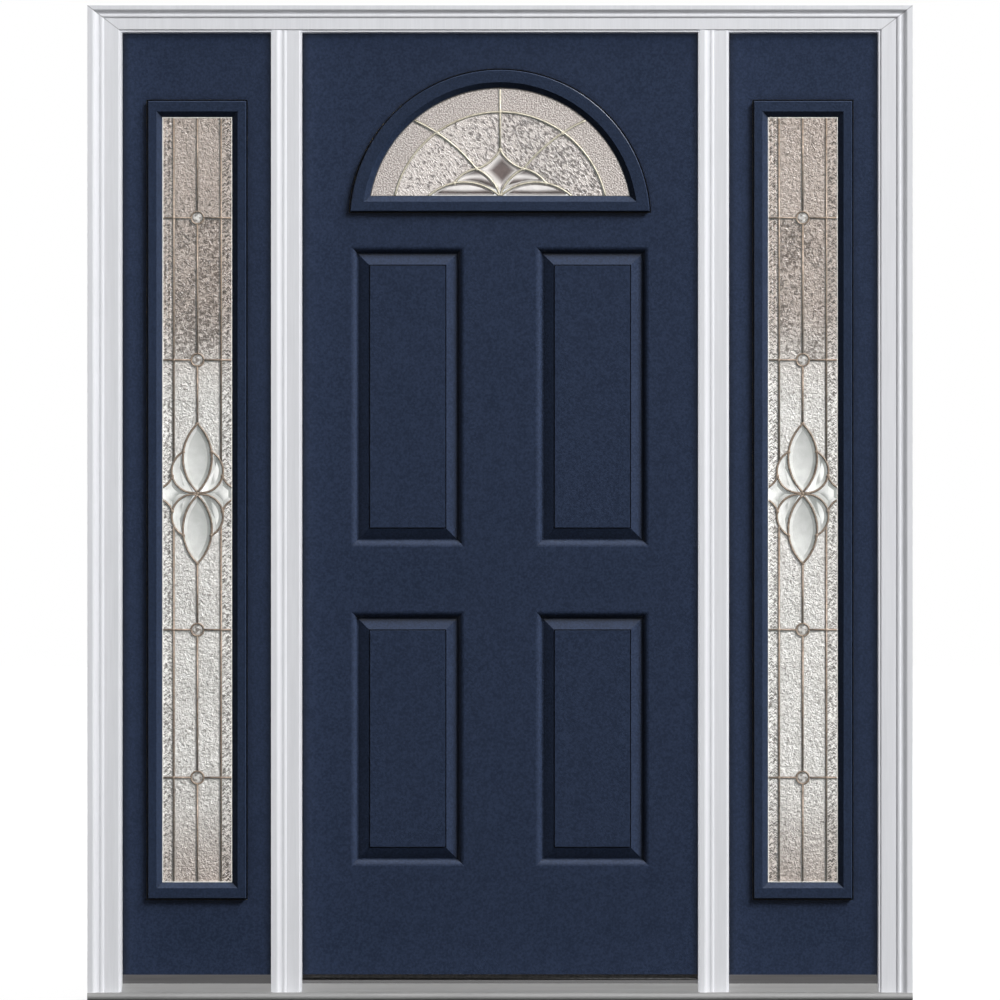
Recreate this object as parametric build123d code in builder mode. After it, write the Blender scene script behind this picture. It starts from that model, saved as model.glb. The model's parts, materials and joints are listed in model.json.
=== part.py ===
"""Steel front door with two fixed sidelights, in a moulded white frame on an aluminium sill.

Millimetres. X runs to the right as seen from outside, Y into the building, Z up.
The origin lies under the middle of the sill, in the plane of the frame's outer edge.
"""

import math
import os

from build123d import *

os.makedirs("parts", exist_ok=True)

# Door slab
SLAB_WIDTH = 857.0
SLAB_HEIGHT = 2013.0
SLAB_THICKNESS = 44.5
SKIN = 0.8
STILE_WIDTH = 35.0
RAIL_HEIGHT = 35.0
LATCH_BEVEL_DEG = 3.0

# Sidelight panels
SIDELIGHT_WIDTH = 340.0
SIDELIGHT_GAP = 1.5

# Frame
EDGE_GAP = 5.5
STOP_LAP = 12.5
STOP_DEPTH = 58.0
JAMB_THICKNESS = 19.0
MULLION_BODY = 40.0
REVEAL = 3.0
SIDE_CASING_WIDTH = 68.0
HEAD_CASING_WIDTH = 52.0
CASING_DEPTH = 32.0
CASING_FLAT_DEPTH = 19.0
CASING_MOULDED_SHARE = 0.53
CASING_EASE = 3.0
COVER_DEPTH = 19.0
COVER_FLAT_DEPTH = 11.0
WEATHERSTRIP_REACH = 8.5
WEATHERSTRIP_WIDTH = 9.0
WEATHERSTRIP_ROUND = 3.0
WEATHERSTRIP_CLEARANCE = 5.0

# Sill
NOSING_HEIGHT = 17.0
NOSING_LEDGE = 2.0
DECK_HEIGHT = 32.0
DECK_WALL = 3.0
CAP_HEIGHT = 6.5
CAP_LEAD = 4.0
CAP_TAIL = 6.0
SWEEP_CLEARANCE = 5.0
SWEEP_HEIGHT = 7.5
SWEEP_PLATE = 2.0
SWEEP_INSET = 6.0
SWEEP_END_GAP = 2.0
SWEEP_FIN = 2.5
SWEEP_FINS = 4

# Raised panels pressed into the door faces, and the rails between them
BOTTOM_RAIL = 231.0
LOWER_PANEL_HEIGHT = 543.0
LOCK_RAIL = 138.0
FAN_RAIL = 75.0
TOP_RAIL = 84.5
PANEL_WIDTH = 242.0
PANEL_SPACING = 152.0
PANEL_BORDER = 41.0
PRESS_DEPTH = 8.0
OVOLO_WIDTH = 14.0
GROOVE_WIDTH = 2.5
QUIRK_WIDTH = 2.5
QUIRK_DEPTH = 2.5
BEVEL_STEP = 1.1
FIELD_DEPTH = 0.5

# Lights: frames and sealed units, measured from the outer face of the slab or panel
LITE_PROUD = 7.0
LITE_SEAT = 4.0
LITE_EASE = 1.5
LITE_FLANGE = 1.5
SHADOW_GAP = 3.0
SLOPE_WIDTH = 12.0
PANE = 3.0
OUTER_PANE = 8.5
CAME_START = 14.0
CAME_DEPTH = 6.0
CAME_WIDTH = 5.0
CELL_GAP = 0.3
CELL_START = 15.0
CELL_DEPTH = 4.0
SPACER_DEPTH = 11.0
SPACER_SHOW = 1.5
FIT = 1.0

# Fanlight: its centre lies below the frame's level base
FAN_FRAME_RADIUS = 319.5
FAN_BASE_RISE = 18.0
FAN_BAND = 38.0
FAN_BASE_BAND = 32.5
FAN_CAME_INSET = 51.0

# Sidelight glass
LITE_TOP_RAIL = 155.5
LITE_BOTTOM_RAIL = 162.5
LITE_WIDTH = 209.0
LITE_BAND = 30.0
LITE_BASE_BAND = 34.0
LITE_LAP = 12.0
CLUSTER_HEIGHT = 1076.0
BORDER_STRIP = 24.0
CAME_ROW_SHARES = (0.672, 0.208)
JEWEL_RADIUS = 13.5
JEWEL_SIDES = 12

# Hinges
HINGE_FROM_TOP = 214.0
HINGE_FROM_BOTTOM = 179.0
HINGE_LENGTH = 101.6
LEAF = 2.5
LEAF_WIDTH = 38.0
BARREL_RADIUS = 6.35
PIN_RADIUS = 4.0
PIN_CLEARANCE = 0.05
PIN_HEAD = 3.0
PIN_HEAD_STEP = 0.6
KNUCKLES = 3
KNUCKLE_GAP = 0.5
MORTISE_GAP = 0.3
BARREL_CLEARANCE = 0.65

# Lines of the frame worked out from the sizes above
half_slab = SLAB_WIDTH / 2
door_rabbet = half_slab + EDGE_GAP
door_stop = door_rabbet - STOP_LAP
mullion_rabbet = door_rabbet + MULLION_BODY
mullion_stop = mullion_rabbet + STOP_LAP
panel_inner = mullion_rabbet + SIDELIGHT_GAP
panel_outer = panel_inner + SIDELIGHT_WIDTH
panel_centre = (panel_inner + panel_outer) / 2
jamb_rabbet = panel_outer + SIDELIGHT_GAP
jamb_stop = jamb_rabbet - STOP_LAP
jamb_back = jamb_rabbet + JAMB_THICKNESS
casing_inner = jamb_stop + REVEAL
casing_outer = casing_inner + SIDE_CASING_WIDTH
cap_top = DECK_HEIGHT + CAP_HEIGHT
slab_bottom = cap_top + SWEEP_CLEARANCE + SWEEP_HEIGHT
slab_top = slab_bottom + SLAB_HEIGHT
head_rabbet = slab_top + EDGE_GAP
head_stop = head_rabbet - STOP_LAP
head_back = head_rabbet + JAMB_THICKNESS
head_casing_inner = head_stop + REVEAL
head_casing_outer = head_casing_inner + HEAD_CASING_WIDTH
slab_front = STOP_DEPTH + WEATHERSTRIP_REACH + WEATHERSTRIP_CLEARANCE
slab_back = slab_front + SLAB_THICKNESS
jamb_depth = slab_back
nosing_front = CASING_DEPTH + NOSING_LEDGE
panel_front = STOP_DEPTH
panel_back = STOP_DEPTH + SLAB_THICKNESS
panel_top = head_rabbet - SIDELIGHT_GAP
pin_x = -(half_slab + EDGE_GAP / 2)
pin_y = jamb_depth + BARREL_RADIUS + BARREL_CLEARANCE
low_hinge = slab_bottom + HINGE_FROM_BOTTOM
high_hinge = slab_top - HINGE_FROM_TOP
hinge_heights = (low_hinge, (low_hinge + high_hinge) / 2, high_hinge)

# Lines of the lights and panels
fan_centre = slab_top - TOP_RAIL - FAN_FRAME_RADIUS
fan_frame_base = fan_centre + FAN_BASE_RISE
fan_glass_radius = FAN_FRAME_RADIUS - FAN_BAND
fan_glass_base = fan_frame_base + FAN_BASE_BAND
fan_came_radius = fan_glass_radius - FAN_CAME_INSET
lower_panel = (slab_bottom + BOTTOM_RAIL, slab_bottom + BOTTOM_RAIL + LOWER_PANEL_HEIGHT)
upper_panel = (lower_panel[1] + LOCK_RAIL, fan_frame_base - FAN_RAIL)
lite_bottom = slab_bottom + LITE_BOTTOM_RAIL
lite_top = panel_top - LITE_TOP_RAIL
lite_half = LITE_WIDTH / 2
glass_half = lite_half - LITE_BAND
glass_low = lite_bottom + LITE_BASE_BAND
glass_high = lite_top - LITE_BASE_BAND


def keep(builder, label):
    """Name a finished piece and save it."""
    builder.part.label = label
    export_step(builder.part, "parts/" + label + ".step")


def elevation(y):
    """Upright plane at depth y: local x is X, local y is Z, and it looks out of the building."""
    return Plane.XZ.offset(-y)


def block(x0, x1, y0, y1, z0, z1, mode=Mode.ADD):
    """Square-edged block between two corners."""
    with Locations(((x0 + x1) / 2, (y0 + y1) / 2, (z0 + z1) / 2)):
        Box(x1 - x0, y1 - y0, z1 - z0, mode=mode)


def outline(points, plane):
    """Closed straight-sided outline on a plane."""
    with BuildSketch(plane) as s:
        with BuildLine():
            Polyline(*points, close=True)
        make_face()
    return s.sketch


def sill_profile(plane):
    """Section of the whole sill: half-round nosing, flat for the legs, sloping deck, level back."""
    radius = NOSING_HEIGHT / 2
    with BuildSketch(plane) as s:
        with BuildLine():
            ThreePointArc(
                (-nosing_front, 0), (-nosing_front - radius, radius), (-nosing_front, NOSING_HEIGHT)
            )
            Polyline(
                (-nosing_front, NOSING_HEIGHT),
                (0, NOSING_HEIGHT),
                (STOP_DEPTH, DECK_HEIGHT),
                (jamb_depth, DECK_HEIGHT),
                (jamb_depth, 0),
                (-nosing_front, 0),
            )
        make_face()
    return s.sketch


def base_profile(plane):
    """Section of the sill's inner board, one wall inside the deck."""
    return outline(
        [
            (-nosing_front / 2, 0),
            (-nosing_front / 2, NOSING_HEIGHT - DECK_WALL),
            (0, NOSING_HEIGHT - DECK_WALL),
            (STOP_DEPTH, DECK_HEIGHT - DECK_WALL),
            (jamb_depth - DECK_WALL, DECK_HEIGHT - DECK_WALL),
            (jamb_depth - DECK_WALL, 0),
        ],
        plane,
    )


def casing_profile(plane, place, width, depth, flat):
    """Moulded section: back band, bead, cove and roll falling to a flat; place(u, h) sets it out."""
    m = width * CASING_MOULDED_SHARE
    fall = depth - flat
    bead = depth - 0.2 * fall
    quirk = depth - 0.35 * fall
    cove = flat + 0.22 * fall
    roll = flat + 0.36 * fall
    ease = width * CASING_EASE / SIDE_CASING_WIDTH
    inwards = Vector(place(1, 0)) - Vector(place(0, 0))
    with BuildSketch(plane) as s:
        with BuildLine():
            Polyline(place(0.27 * m, depth), place(0, depth), place(0, 0), place(width, 0),
                     place(width, flat - CASING_EASE))
            ThreePointArc(place(width, flat - CASING_EASE),
                          place(width - 0.36 * ease, flat - 0.36 * CASING_EASE),
                          place(width - ease, flat))
            Line(place(width - ease, flat), place(0.97 * m, flat))
            ThreePointArc(place(0.97 * m, flat), place(0.9 * m, roll - 0.08 * fall), place(0.72 * m, roll))
            Line(place(0.72 * m, roll), place(0.7 * m, cove))
            ThreePointArc(place(0.7 * m, cove), place(0.52 * m, (cove + quirk) / 2 - 0.08 * fall),
                          place(0.43 * m, quirk))
            Line(place(0.43 * m, quirk), place(0.4 * m, bead))
            TangentArc(place(0.27 * m, depth), place(0.4 * m, bead), tangent=inwards)
        make_face()
    return s.sketch


# Sill: an inner board under an aluminium deck with its nosing, notched round the side jambs
with BuildPart() as sill_base:
    extrude(base_profile(Plane.YZ.offset(-jamb_stop)), amount=2 * jamb_stop)
keep(sill_base, "sill_base")

with BuildPart() as sill_deck:
    extrude(sill_profile(Plane.YZ.offset(-casing_outer)), amount=2 * casing_outer)
    extrude(base_profile(Plane.YZ.offset(-casing_outer)), amount=2 * casing_outer, mode=Mode.SUBTRACT)
    for side in (-1, 1):
        ends = sorted((side * jamb_stop, side * casing_outer))
        block(*ends, 0, STOP_DEPTH, 0, DECK_HEIGHT, mode=Mode.SUBTRACT)
        ends = sorted((side * jamb_rabbet, side * casing_outer))
        block(*ends, STOP_DEPTH, jamb_depth, 0, DECK_HEIGHT, mode=Mode.SUBTRACT)
keep(sill_deck, "sill_deck")

with BuildPart() as threshold_cap:
    cap_section = outline(
        [
            (slab_front - CAP_LEAD, DECK_HEIGHT),
            (slab_front - CAP_LEAD / 4, cap_top),
            (jamb_depth - CAP_TAIL, cap_top),
            (jamb_depth, DECK_HEIGHT),
        ],
        Plane.YZ.offset(-door_rabbet),
    )
    extrude(cap_section, amount=2 * door_rabbet)
keep(threshold_cap, "threshold_cap")

with BuildPart() as sidelight_sill_strips:
    for side in (-1, 1):
        ends = sorted((side * mullion_rabbet, side * jamb_rabbet))
        block(*ends, panel_front, panel_back, DECK_HEIGHT, slab_bottom)
keep(sidelight_sill_strips, "sidelight_sill_strips")

# Frame: side jambs and head with their door stops worked in the solid
for name, side in (("left_jamb", -1), ("right_jamb", 1)):
    with BuildPart() as jamb:
        front = sorted((side * jamb_stop, side * jamb_back))
        back = sorted((side * jamb_rabbet, side * jamb_back))
        block(*front, 0, STOP_DEPTH, 0, head_back)
        block(*back, STOP_DEPTH, jamb_depth, 0, head_back)
    keep(jamb, name)

with BuildPart() as head_jamb:
    block(-jamb_stop, jamb_stop, 0, STOP_DEPTH, head_stop, head_back)
    block(-jamb_rabbet, jamb_rabbet, STOP_DEPTH, jamb_depth, head_rabbet, head_back)
keep(head_jamb, "head_jamb")


def leaf_face(x, grow):
    """Outlines of the hinge leaves on the upright plane x."""
    wide = LEAF_WIDTH + grow
    with BuildSketch(Plane.YZ.offset(x)) as s:
        for height in hinge_heights:
            with Locations((jamb_depth - wide / 2, height)):
                Rectangle(wide, HINGE_LENGTH + 2 * grow)
    return s.sketch


for name, side in (("left_mullion_post", -1), ("right_mullion_post", 1)):
    with BuildPart() as post:
        front = sorted((side * door_stop, side * mullion_stop))
        back = sorted((side * door_rabbet, side * mullion_rabbet))
        block(*front, 0, STOP_DEPTH, 0, head_stop)
        block(*back, STOP_DEPTH, jamb_depth, 0, head_rabbet)
        extrude(sill_profile(Plane.YZ.offset(front[0])), amount=front[1] - front[0], mode=Mode.SUBTRACT)
        if side < 0:
            extrude(leaf_face(-door_rabbet, MORTISE_GAP), amount=-LEAF, mode=Mode.SUBTRACT)
    keep(post, name)

# Casings: the moulded section mitred from outer to inner corner at the head
mitre_left = Plane(
    origin=(-casing_outer, 0, head_casing_outer),
    x_dir=(0, 1, 0),
    z_dir=(HEAD_CASING_WIDTH, 0, SIDE_CASING_WIDTH),
)
mitre_right = Plane(
    origin=(casing_outer, 0, head_casing_outer),
    x_dir=(0, 1, 0),
    z_dir=(-HEAD_CASING_WIDTH, 0, SIDE_CASING_WIDTH),
)
for name, side, mitre in (("left_casing", -1, mitre_left), ("right_casing", 1, mitre_right)):
    with BuildPart() as casing:
        section = casing_profile(
            Plane.XY.offset(NOSING_HEIGHT),
            lambda u, h: (side * (casing_outer - u), -h),
            SIDE_CASING_WIDTH,
            CASING_DEPTH,
            CASING_FLAT_DEPTH,
        )
        length = head_casing_outer - NOSING_HEIGHT
        extrude(section, amount=math.copysign(length, section.face().normal_at().Z))
        split(bisect_by=mitre, keep=Keep.BOTTOM)
    keep(casing, name)

with BuildPart() as head_casing:
    section = casing_profile(
        Plane.YZ.offset(-casing_outer),
        lambda u, h: (-h, head_casing_outer - u),
        HEAD_CASING_WIDTH,
        CASING_DEPTH,
        CASING_FLAT_DEPTH,
    )
    extrude(section, amount=math.copysign(2 * casing_outer, section.face().normal_at().X))
    split(bisect_by=mitre_left, keep=Keep.TOP)
    split(bisect_by=mitre_right, keep=Keep.TOP)
keep(head_casing, "head_casing")

cover_width = mullion_stop - door_stop - 2 * REVEAL
cover_starts = (("left_mullion_cover", -mullion_stop + REVEAL), ("right_mullion_cover", door_stop + REVEAL))
for name, start in cover_starts:
    with BuildPart() as cover:
        section = casing_profile(
            Plane.XY.offset(NOSING_HEIGHT),
            lambda u, h: (start + u, -h),
            cover_width,
            COVER_DEPTH,
            COVER_FLAT_DEPTH,
        )
        length = head_casing_inner - NOSING_HEIGHT
        extrude(section, amount=math.copysign(length, section.face().normal_at().Z))
    keep(cover, name)

# Weatherstrip on the door stops, up both sides and across the head
strip_edge = door_stop + FIT
strip_head = head_stop + FIT
with BuildPart() as weatherstrip:
    back = STOP_DEPTH + WEATHERSTRIP_REACH
    for side in (-1, 1):
        ends = sorted((side * strip_edge, side * (strip_edge + WEATHERSTRIP_WIDTH)))
        block(*ends, STOP_DEPTH, back, slab_bottom, strip_head - FIT)
    block(-strip_edge - WEATHERSTRIP_WIDTH, strip_edge + WEATHERSTRIP_WIDTH, STOP_DEPTH, back,
          strip_head, strip_head + WEATHERSTRIP_WIDTH)
    fillet(weatherstrip.edges().group_by(Axis.Y)[-1], WEATHERSTRIP_ROUND)
keep(weatherstrip, "weatherstrip")

# Hinges: three pairs of leaves let in flush, alternate knuckles on one pin
knuckle = HINGE_LENGTH / KNUCKLES


def hinge_leaves(face_x, side, first):
    """The plates of one half of the hinges with every other knuckle, bored for the pin."""
    with BuildPart() as leaves:
        extrude(leaf_face(face_x, 0), amount=side * LEAF)
        for height in hinge_heights:
            for k in range(first, KNUCKLES, 2):
                low = height - HINGE_LENGTH / 2 + k * knuckle + KNUCKLE_GAP / 2
                high = low + knuckle - KNUCKLE_GAP
                ends = sorted((face_x, face_x + side * LEAF))
                block(*ends, jamb_depth - LEAF, pin_y, low, high)
                with Locations((pin_x, pin_y, (low + high) / 2)):
                    Cylinder(BARREL_RADIUS, high - low)
            with Locations((pin_x, pin_y, height)):
                Cylinder(PIN_RADIUS + PIN_CLEARANCE, 2 * HINGE_LENGTH, mode=Mode.SUBTRACT)
    return leaves


hinge_frame_leaves = hinge_leaves(-door_rabbet, -1, 0)
keep(hinge_frame_leaves, "hinge_frame_leaves")

hinge_door_leaves = hinge_leaves(-half_slab, 1, 1)
keep(hinge_door_leaves, "hinge_door_leaves")

with BuildPart() as hinge_pins:
    for height in hinge_heights:
        top = height + HINGE_LENGTH / 2 - KNUCKLE_GAP / 2
        with Locations((pin_x, pin_y, height)):
            Cylinder(PIN_RADIUS, HINGE_LENGTH - KNUCKLE_GAP)
        with Locations((pin_x, pin_y, top + PIN_HEAD / 2)):
            Cylinder(BARREL_RADIUS - PIN_HEAD_STEP, PIN_HEAD)
keep(hinge_pins, "hinge_pins")


# Lights: outlines of the fanlight and of a sidelight's glass, drawn flat and set up at a depth
def at(y, shape):
    """Stand a flat outline upright at depth y."""
    return elevation(y) * shape


def fan_shape(radius, base):
    """Half-round outline: an arc about the fanlight's centre, closed by a level base."""
    half = math.sqrt(radius**2 - (base - fan_centre) ** 2)
    with BuildSketch() as s:
        with BuildLine():
            ThreePointArc((-half, base), (0, fan_centre + radius), (half, base))
            Line((half, base), (-half, base))
        make_face()
    return s.sketch


def fan_frame(inset):
    """Outline of the fanlight frame, set in from its outer edge."""
    return fan_shape(FAN_FRAME_RADIUS - inset, fan_frame_base + inset)


def fan_glass(inset):
    """Outline of the fanlight's visible glass, set in from its edge."""
    return fan_shape(fan_glass_radius - inset, fan_glass_base + inset)


def box_shape(centre, half, low, high):
    """Upright rectangle about a centre line."""
    with BuildSketch() as s:
        with Locations((centre, (low + high) / 2)):
            Rectangle(2 * half, high - low)
    return s.sketch


def tall_frame(centre, inset):
    """Outline of a sidelight's frame, set in from its outer edge."""
    return box_shape(centre, lite_half - inset, lite_bottom + inset, lite_top - inset)


def tall_glass(centre, inset):
    """Outline of a sidelight's visible glass, set in from its edge."""
    return box_shape(centre, glass_half - inset, glass_low + inset, glass_high - inset)


def light_opening(frame, front, back):
    """Hole through a core for a light: a shallow seat for the frame on each face, and the way between."""
    seat = LITE_SEAT - SKIN
    extrude(at(front + SKIN, frame(-SHADOW_GAP)), amount=-seat, mode=Mode.SUBTRACT)
    extrude(at(back - SKIN, frame(-SHADOW_GAP)), amount=seat, mode=Mode.SUBTRACT)
    extrude(at(front, frame(LITE_LAP)), amount=-(back - front), mode=Mode.SUBTRACT)


def light_frame(frame, glass, face, out, tongue):
    """Frame round a light: flange in its seat, flat band standing proud, slope to the glass, tongue."""
    proud = face - out * LITE_PROUD
    floor = face + out * LITE_SEAT
    depth = LITE_PROUD + LITE_SEAT
    with BuildPart() as ring:
        extrude(at(proud, frame(0)), amount=-out * depth)
        chamfer(ring.faces().sort_by(Axis.Y, reverse=out < 0)[0].edges(), LITE_EASE)
        extrude(at(floor, frame(CELL_GAP - SHADOW_GAP)), amount=out * LITE_FLANGE)
        extrude(at(floor, frame(LITE_LAP + FIT)), amount=-out * tongue)
        extrude(at(proud, glass(0)), amount=-out * (depth + tongue), mode=Mode.SUBTRACT)
        loft([at(proud, glass(-SLOPE_WIDTH)).face(), at(face - out, glass(0)).face()], mode=Mode.SUBTRACT)
    return ring


def panes(frame, front):
    """The two clear panes of a sealed unit."""
    with BuildPart() as pair:
        for start in (OUTER_PANE, OUTER_PANE + PANE + SPACER_DEPTH):
            extrude(at(front + start, frame(LITE_LAP + FIT)), amount=-PANE)
    return pair


def traced(lines, jewels, width, edge):
    """Flat strips along every line and round every jewel, trimmed to an outline."""
    with BuildSketch() as s:
        for line in lines:
            trace(line, width)
        add(edge, mode=Mode.INTERSECT)
        for jewel in jewels:
            with Locations(jewel):
                RegularPolygon(JEWEL_RADIUS + width / 2, JEWEL_SIDES)
                RegularPolygon(JEWEL_RADIUS - width / 2, JEWEL_SIDES, mode=Mode.SUBTRACT)
    return s.sketch


def came_lattice(frame, glass, front, lines, jewels):
    """Spacer round the unit with the came carried between its sides."""
    start = front + OUTER_PANE + PANE
    with BuildPart() as came:
        extrude(at(start, frame(LITE_LAP + FIT)), amount=-SPACER_DEPTH)
        extrude(at(start, glass(SPACER_SHOW)), amount=-SPACER_DEPTH, mode=Mode.SUBTRACT)
        extrude(at(front + CAME_START, traced(lines, jewels, CAME_WIDTH, glass(0))), amount=-CAME_DEPTH)
    return came


def glass_cells(glass, front, lines, jewels, shapes):
    """Textured glass between the cames, left out where bevels and jewels sit."""
    with BuildSketch() as s:
        add(glass(SPACER_SHOW + CELL_GAP))
        add(traced(lines, jewels, CAME_WIDTH + 2 * CELL_GAP, glass(0)), mode=Mode.SUBTRACT)
        for shape in shapes:
            add(shape, mode=Mode.SUBTRACT)
    with BuildPart() as cells:
        extrude(at(front + CELL_START, s.sketch), amount=-CELL_DEPTH)
    return cells


def bevel_pieces(front, shapes):
    """Clear pieces, each inside its own ring of came."""
    with BuildPart() as pieces:
        for shape in shapes:
            rim = offset(shape, -(CAME_WIDTH / 2 + CELL_GAP), kind=Kind.INTERSECTION)
            extrude(at(front + CAME_START, rim), amount=-CAME_DEPTH)
    return pieces


def closed(*curves):
    """Flat face inside a closed run of lines; a triple of points is an arc, a pair is straight."""
    with BuildSketch() as s:
        with BuildLine():
            for points in curves:
                if len(points) == 3:
                    ThreePointArc(*points)
                else:
                    Line(*points)
        make_face()
    return s.sketch


def came_edges(curves):
    """Centre lines of came; a triple of points is an arc, a pair is straight."""
    with BuildLine() as lines:
        for points in curves:
            if len(points) == 3:
                ThreePointArc(*points)
            else:
                Line(*points)
    return lines.edges()


def row_heights(leaf_tip):
    """Jewelled bars from top to bottom: shares of the way from the cluster's tips to the glass's ends."""
    upper = CLUSTER_HEIGHT + leaf_tip
    lower = CLUSTER_HEIGHT - leaf_tip
    rows = [upper + share * (glass_high - upper) for share in CAME_ROW_SHARES]
    return rows, [lower - share * (lower - glass_low) for share in reversed(CAME_ROW_SHARES)]


def sidelight_pattern(centre):
    """Came lines, jewels and bevel shapes of a sidelight: three columns, four jewelled bars, a leaf cluster.

    The cluster's points are shares of the glass's half width, measured from its middle.
    """
    edge = glass_half - SPACER_SHOW + CAME_WIDTH / 2

    def p(x, z):
        return (centre + x * edge, CLUSTER_HEIGHT + z * edge)

    tip = 1.974
    root = 0.04
    belly = (0.41, (tip + root) / 2)
    petal_points = ((0.397, 1.179), (0.728, 0.662), (0.0265, 0.0265))
    petal_arc = ThreePointArc(*petal_points)
    round_x, round_z, round_r = petal_arc.arc_center.X, petal_arc.arc_center.Y, petal_arc.radius
    tip_z = 0.503
    tip_x = round_x + math.sqrt(round_r**2 - (tip_z - round_z) ** 2)
    hip = (0.808, 0.318)
    end_z = 0.172
    column_end = 0.927 * edge

    column = glass_half - BORDER_STRIP
    lines = []
    for x in (centre - column, centre + column):
        lines.append(((x, glass_high), (x, CLUSTER_HEIGHT + column_end)))
        lines.append(((x, CLUSTER_HEIGHT - column_end), (x, glass_low)))
    upper_rows, lower_rows = row_heights(tip * edge)
    jewels = [(centre, z) for z in upper_rows + lower_rows]
    runs = (
        [glass_high] + upper_rows + [CLUSTER_HEIGHT + tip * edge],
        [CLUSTER_HEIGHT - tip * edge] + lower_rows + [glass_low],
    )
    for stops in runs:
        for k, (upper, lower) in enumerate(zip(stops, stops[1:])):
            start = upper - (JEWEL_RADIUS if k > 0 else 0)
            finish = lower + (JEWEL_RADIUS if k < len(stops) - 2 else 0)
            lines.append(((centre, start), (centre, finish)))
    for x, z in jewels:
        lines.append(((x - lite_half, z), (x - JEWEL_RADIUS, z)))
        lines.append(((x + JEWEL_RADIUS, z), (x + lite_half, z)))
    shapes = []
    for jewel in jewels:
        with BuildSketch() as disc:
            with Locations(jewel):
                RegularPolygon(JEWEL_RADIUS, JEWEL_SIDES)
        shapes.append(disc.sketch)
    for v in (1, -1):
        left = (p(0, v * tip), p(-belly[0], v * belly[1]), p(0, v * root))
        right = (p(0, v * root), p(belly[0], v * belly[1]), p(0, v * tip))
        lines += [left, right]
        leaf = closed(left, right)
        shapes.append(leaf)
        for h in (-1, 1):
            petal = tuple(p(h * x, v * z) for x, z in petal_points)
            lines.append(petal)
            with BuildSketch() as side_leaf:
                add(closed(petal, (petal[2], petal[0])))
                add(leaf, mode=Mode.SUBTRACT)
            shapes.append(side_leaf.sketch)
            lines.append((p(h * tip_x, v * tip_z), p(h * hip[0], v * hip[1]), p(h, v * end_z)))
    middle = petal_points[2][0]
    for h in (-1, 1):
        with BuildSketch() as star:
            add(closed(
                (p(h * middle, middle), p(h * tip_x, tip_z)),
                (p(h * tip_x, tip_z), p(h * hip[0], hip[1]), p(h, end_z)),
                (p(h, end_z), p(h, -end_z)),
                (p(h, -end_z), p(h * hip[0], -hip[1]), p(h * tip_x, -tip_z)),
                (p(h * tip_x, -tip_z), p(h * middle, -middle)),
                (p(h * middle, -middle), p(h * middle, middle)),
            ))
            for v in (1, -1):
                with Locations(p(h * round_x, v * round_z)):
                    Circle(round_r * edge, mode=Mode.SUBTRACT)
        shapes.append(star.sketch)
    return came_edges(lines), jewels, shapes


def fan_pattern():
    """Came lines and bevel shapes of the fanlight: an inner arc, two swoops, a star over petals.

    The points are shares of the glass's radius, measured from the fanlight's centre.
    """
    radius = fan_glass_radius

    def p(x, z):
        return (x * radius, fan_centre + z * radius)

    base = (fan_glass_base - fan_centre) / radius
    arch = fan_came_radius / radius
    half = math.sqrt(arch**2 - base**2)
    crown = (0, 0.533)
    shoulder = (0.178, 0.387)
    foot = (0, base)
    lines = [
        (p(-half, base), p(0, arch), p(half, base)),
        (p(0, 1), p(*crown)),
    ]
    shapes = []
    star = []
    for h in (-1, 1):
        upper = (p(*crown), p(h * 0.064, 0.451), p(h * shoulder[0], shoulder[1]))
        lower = (p(h * shoulder[0], shoulder[1]), p(h * 0.071, 0.309), p(*foot))
        big = (p(h * 0.5435, base), p(h * 0.272, base + 0.1066), p(*foot))
        big_arc = ThreePointArc(*big)
        join_x = h * 0.348 * radius
        join_rise = math.sqrt(big_arc.radius**2 - (join_x - big_arc.arc_center.X) ** 2)
        join = (join_x, big_arc.arc_center.Y + join_rise)
        petal = (join, p(h * 0.262, 0.358), p(h * shoulder[0], shoulder[1]))
        swoop = (p(h * 0.654, 0.760), p(h * 0.401, 0.607), p(h * shoulder[0], shoulder[1]))
        lines += [upper, lower, petal, big, swoop]
        star += [upper, lower] if h < 0 else [tuple(reversed(lower)), tuple(reversed(upper))]
        big_leaf = closed(big, (big[2], big[0]))
        shapes.append(big_leaf)
        with BuildSketch() as small_leaf:
            add(closed(petal, lower, (lower[2], petal[0])))
            add(big_leaf, mode=Mode.SUBTRACT)
        shapes.append(small_leaf.sketch)
    shapes.append(closed(*star))
    return came_edges(lines), [], shapes


def make_light(name, frame, glass, pattern, front, back):
    """All pieces of one light, from the outer frame to the inner one."""
    lines, jewels, shapes = pattern
    outer = light_frame(frame, glass, front, 1, OUTER_PANE - LITE_SEAT)
    keep(outer, name + "_outer_frame")
    inner_pane_back = front + OUTER_PANE + 2 * PANE + SPACER_DEPTH
    inner = light_frame(frame, glass, back, -1, back - LITE_SEAT - inner_pane_back)
    keep(inner, name + "_inner_frame")
    keep(panes(frame, front), name + "_panes")
    keep(came_lattice(frame, glass, front, lines, jewels), name + "_came")
    keep(glass_cells(glass, front, lines, jewels, shapes), name + "_textured_glass")
    keep(bevel_pieces(front, shapes), name + "_bevels")


make_light("fanlight", fan_frame, fan_glass, fan_pattern(), slab_front, slab_back)


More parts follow.
